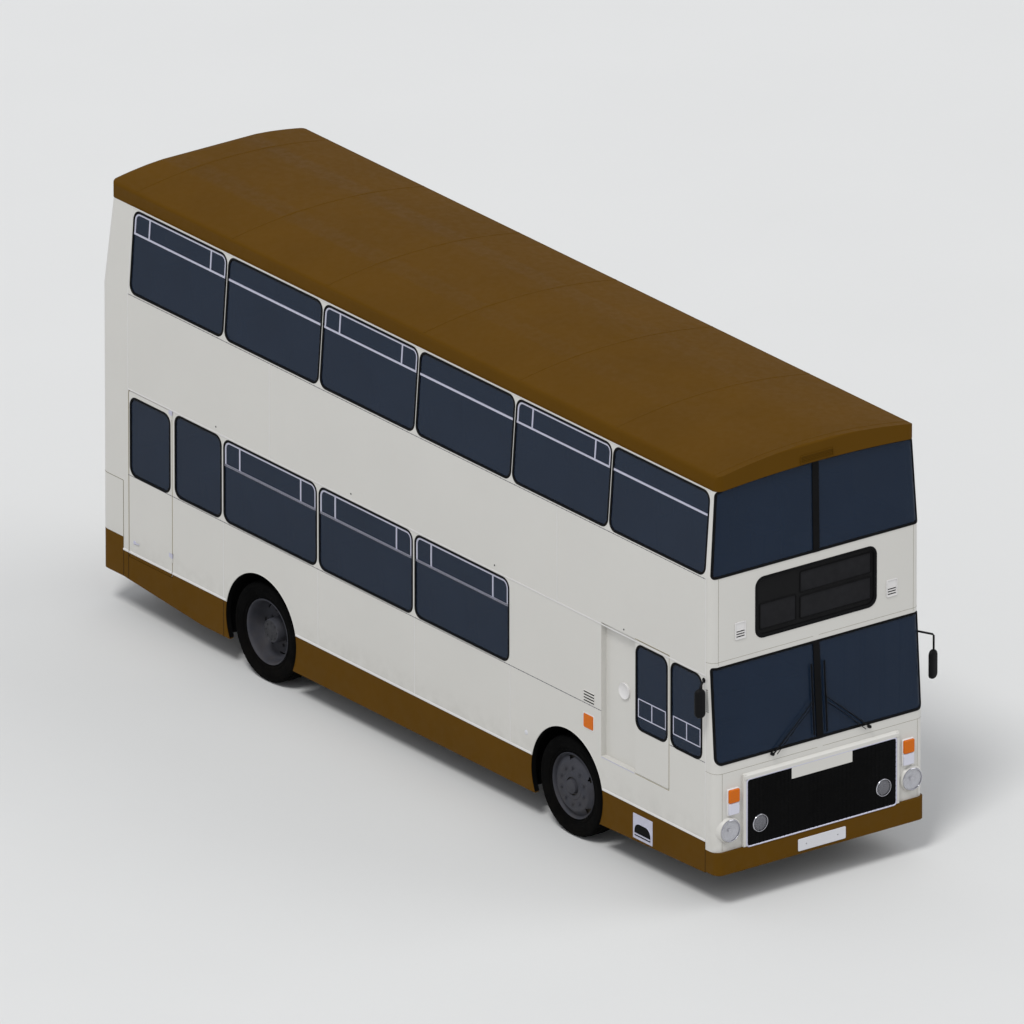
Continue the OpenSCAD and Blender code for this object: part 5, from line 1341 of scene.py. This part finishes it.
def cushion_mesh(name, half, crown, tilt):
    """A two-place squab or back as one mesh: two pads side by side, each with piping round its edge."""
    shape, place = Shape(), Matrix.Rotation(tilt, 4, "X")
    middle = half[0] / 2
    hx, hy = middle - 0.006, half[1] - 0.003
    for s in (-1, 1):
        points, faces = pillow((middle - 0.003, half[1], half[2]), crown)
        shape.use(0).add([place @ Vector((x + s * middle, y, z)) for x, y, z in points], faces)
        edge = [place @ Vector((s * middle + a, b, 0.0)) for a, b in rounded((-hx, hx, -hy, hy), 0.02, n=3)]
        shape.use(1).tube(edge, 0.005, 6, closed=True)
    return build_mesh(name, shape, [CLOTH, VINYL])


def place_cushion(name, mesh, foot, middle):
    """A copy of a cushion over a seat's foot, at middle as (y, z) from it."""
    x, y, floor = foot
    piece = bpy.data.objects.new(name, mesh)
    piece.location = (x, y + middle[0], floor + middle[1])
    bpy.context.scene.collection.objects.link(piece)
    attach(piece, "root")
    return piece


SQUAB = cushion_mesh("bench_squab", (BENCH_HALF - 0.012, 0.200, 0.052), 0.018, 0.035)
BACK = cushion_mesh("bench_back", (BENCH_HALF - 0.012, 0.255, 0.042), 0.016, math.pi / 2 - BACK_TILT)
DRIVER_SQUAB = cushion_mesh("driver_squab", (0.232, 0.205, 0.055), 0.020, 0.035)
DRIVER_BACK = cushion_mesh("driver_back", (0.232, 0.265, 0.045), 0.018, math.pi / 2 - BACK_TILT)


def bench_frame(shape, x, y, floor, aisle, half=BENCH_HALF):
    """The hard parts of a bench: steel tube frame, vinyl back shell, and a grab handle over the aisle corner."""
    z, k = floor + 0.350, math.copysign(1, aisle - x)
    shape.use(0)
    side = ((-0.200, 0.350), (0.225, 0.350), (0.262, 0.415), (0.318, 0.945))
    for a in (x - half + 0.02, x + half - 0.02):
        shape.tube([(a, y + dy, floor + dz) for dy, dz in side], 0.011, 8)
    leg = aisle - k * 0.06
    for dy in (-0.105, 0.105):
        shape.tube([(leg, y + dy, z), (leg, y + dy * 1.1, floor + 0.002)], 0.013, 8)
    shape.tube([(leg, y - 0.118, floor + 0.006), (leg, y + 0.118, floor + 0.006)], 0.010, 8)
    rail = ((aisle - k * 0.02, 0.318, 0.90), (aisle - k * 0.02, 0.312, 0.945), (aisle - k * 0.09, 0.312, 0.952),
            (2 * x - aisle + k * 0.03, 0.312, 0.952))
    shape.tube([(a, y + dy, floor + dz) for a, dy, dz in rail], 0.009, 8)
    shape.use(1)
    back = [(0.262, 0.500), (0.304, 0.925), (0.312, 0.925), (0.276, 0.500)]
    pan = [(-0.200, 0.350), (0.210, 0.338), (0.214, 0.352), (-0.196, 0.364)]
    for section, inset in ((back, 0.012), (pan, 0.015)):
        ends = (x - half + inset, x + half - inset)
        shape.loft([[(a, y + dy, floor + dz) for dy, dz in section] for a in ends])


def add_benches(deck, floor, rows, node):
    """rows are (centre x, y, aisle edge x). Each bench is a squab, a back and its frame."""
    frames, first = Shape(), None
    for k, (x, y, aisle) in enumerate(rows):
        squab = place_cushion(f"{deck}_squab_{k}", SQUAB, (x, y, floor), SQUAB_AT)
        place_cushion(f"{deck}_back_{k}", BACK, (x, y, floor), BACK_AT)
        first = first or squab
        bench_frame(frames, x, y, floor, aisle)
    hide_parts(node)
    make(deck + "_bench_frames", frames, [STEEL, VINYL])


def add_seats():
    """Both decks' benches, in rows on each side of the aisle, and the driver's seat on its pedestal."""
    lower_x, upper_x = AISLE_HALF + BENCH_HALF, AISLE_HALF + 0.3975
    lower = [(lower_x, -2.873 + PITCH * k, AISLE_HALF) for k in range(10)]
    lower += [(-lower_x, -1.322 + PITCH * k, -AISLE_HALF) for k in range(7)]
    upper = [(upper_x, -4.175 + PITCH * k, AISLE_HALF) for k in range(12)]
    upper += [(-upper_x, -4.175 + PITCH * k, -AISLE_HALF) for k in [0] + list(range(5, 12))]
    add_benches("lower_deck", LOWER_FLOOR, lower, "lower_deck_seats")
    add_benches("upper_deck", UPPER_FLOOR, upper, "upper_deck_seats")
    seat_x, seat_y = DRIVER_X, -3.735
    squab = place_cushion("driver_squab", DRIVER_SQUAB, (seat_x, seat_y, CAB_FLOOR), SQUAB_AT)
    place_cushion("driver_back", DRIVER_BACK, (seat_x, seat_y, CAB_FLOOR), BACK_AT)
    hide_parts("driver_seat")
    base = Shape()
    bench_frame(base, seat_x, seat_y, CAB_FLOOR, seat_x + 0.24, DRIVER_HALF)
    pedestal = ((0.150, 1.002), (0.140, 1.060), (0.110, 1.080), (0.110, 1.330), (0.140, 1.345))
    corners = ((-1, -1), (1, -1), (1, 1), (-1, 1))
    base.use(0).loft([[(seat_x + a * w, seat_y - 0.09 + b * w, z) for a, b in corners] for w, z in pedestal])
    make("driver_seat_base", base, [CHASSIS, VINYL], slot="black_plastic")


add_seats()


# ---------------------------------------------------------------- inside: poles, ceilings, cab

def add_interior():
    """The upright poles beside the aisle, the rails under the ceiling, and the lower ceiling's lamps."""
    poles, lights = Shape(), Shape()

    def stand(x, ys, z0, z1):
        for y in ys:
            poles.tube([(x, y, z0), (x, y, z1)], RAIL_R, 12)

    stand(RAIL_X, (-2.555, -1.075, 0.405, 1.885, 3.365), LOWER_FLOOR, 2.668)
    stand(-RAIL_X, (-0.264, 1.216, 2.696), LOWER_FLOOR, 2.668)
    for x, start in ((RAIL_X, -2.5), (-RAIL_X, -1.2)):
        poles.tube([(x, start, 2.560), (x, 4.50, 2.560)], 0.014, 10)
    stand(RAIL_X, (-3.857, -2.377, -0.897, 0.583, 2.063, 3.543), UPPER_FLOOR, 4.340)
    stand(0.300, (-3.385,), 0.38, 2.66)
    poles.tube([(1.150, -4.720, 1.10), (0.560, -4.720, 1.10), (0.560, -4.720, 0.37)], 0.014, 10)
    make("handrails", poles, STEEL)
    for s, ys in ((OFFSIDE, (1.5, 3.0)), (NEARSIDE, (-3.0, -1.5, 0.0, 1.5, 3.0))):
        for y in ys:
            lights.box((s * 0.60 - 0.07, y - 0.30, 2.632), (s * 0.60 + 0.07, y + 0.30, 2.650))
    make("ceiling_lamps", lights, WHITE_LENS, slot="grey_plastic", bevel=0.012)


def add_cab():
    """The steering wheel with a grip-ribbed rim, and the dials on the dashboard."""
    wheel, dials = Shape(), Shape()
    centre, wheel_r, ribs = Vector((DRIVER_X, -4.385, 1.640)), 0.230, 72
    axis = Matrix.Rotation(-math.radians(14), 3, "X") @ Vector((0, 0, 1))
    side = Vector((1, 0, 0))
    other = axis.cross(side)
    turns = [math.tau * k / ribs for k in range(ribs)]
    ring = [centre + wheel_r * (math.cos(t) * side + math.sin(t) * other) for t in turns]
    wheel.tube(ring, [0.015 if k % 2 else 0.0138 for k in range(ribs)], 12, closed=True)
    for k in range(3):
        t = math.radians(30 + 120 * k)
        spoke = math.cos(t) * side + math.sin(t) * other
        path = [centre + spoke * 0.045 + axis * 0.016, centre + spoke * 0.13 + axis * 0.010, centre + spoke * 0.228]
        wheel.tube(path, [0.013, 0.010, 0.008], 10)
    column = [(1e-4, 0.034), (0.040, 0.032), (0.054, 0.022), (0.055, 0.002), (0.030, -0.010), (0.028, -0.560)]
    wheel.lathe(column, centre, axis, 32)
    make("steering_wheel_rim", wheel, PLASTIC, replaces=("steering_wheel",))
    for x, r in ((-0.92, 0.036), (DRIVER_X, 0.045), (-0.70, 0.036)):
        for slot, profile in enumerate(([(r * 0.85, 0.002), (r, 0.006), (r, -0.012)],
                                        [(1e-4, 0.0), (r * 0.86, 0.0), (r * 0.86, -0.010)])):
            dials.use(slot).lathe(profile, (x, -4.560, 1.452), (0, 0.25, 1), 24)
    make("dashboard_dials", dials, [CHROME, BLIND], slot="black_plastic")


add_interior()
add_cab()


# ---------------------------------------------------------------- underside

def add_tank_straps():
    straps = Shape()
    lo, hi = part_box("fuel_tank")
    for y in (lo.y + 0.2, hi.y - 0.2):
        straps.box((lo.x - 0.002, y - 0.02, lo.z - 0.004), (hi.x + 0.004, y + 0.02, hi.z + 0.004))
    make("fuel_tank_straps", straps, CHASSIS, bevel=0.002)


add_tank_straps()


# ---------------------------------------------------------------- light, floor and the end

def add_stage():
    """Soft daylight from two broad suns and a pale sky, over a pale floor."""
    world = bpy.data.worlds.new("sky")
    bpy.context.scene.world = world
    world.use_nodes = True
    sky = world.node_tree.nodes["Background"]
    sky.inputs["Color"].default_value = (0.93, 0.95, 1.0, 1.0)
    sky.inputs["Strength"].default_value = 0.62
    for name, strength, azimuth, elevation, size in (("key", 1.60, -60, 58, 16), ("fill", 0.55, 55, 40, 40)):
        sun = bpy.data.lights.new(name, "SUN")
        sun.energy, sun.angle = strength, math.radians(size)
        lamp = bpy.data.objects.new(name, sun)
        back = backwards(math.radians(azimuth), math.radians(elevation))
        lamp.rotation_euler = back.to_track_quat("Z", "Y").to_euler()
        lamp.location = back * 20
        bpy.context.scene.collection.objects.link(lamp)
    mesh, half = bpy.data.meshes.new("floor"), 80
    mesh.from_pydata([(-half, -half, 0), (half, -half, 0), (half, half, 0), (-half, half, 0)], [], [[0, 1, 2, 3]])
    mesh.materials.append(finish("studio_floor", (214, 214, 212), rough=0.9, vary=0.008, patch=0.4, grain=0.02,
                                 grain_scale=60))
    floor = bpy.data.objects.new("floor", mesh)
    bpy.context.scene.collection.objects.link(floor)


add_stage()
bpy.context.scene.view_settings.view_transform = "Standard"
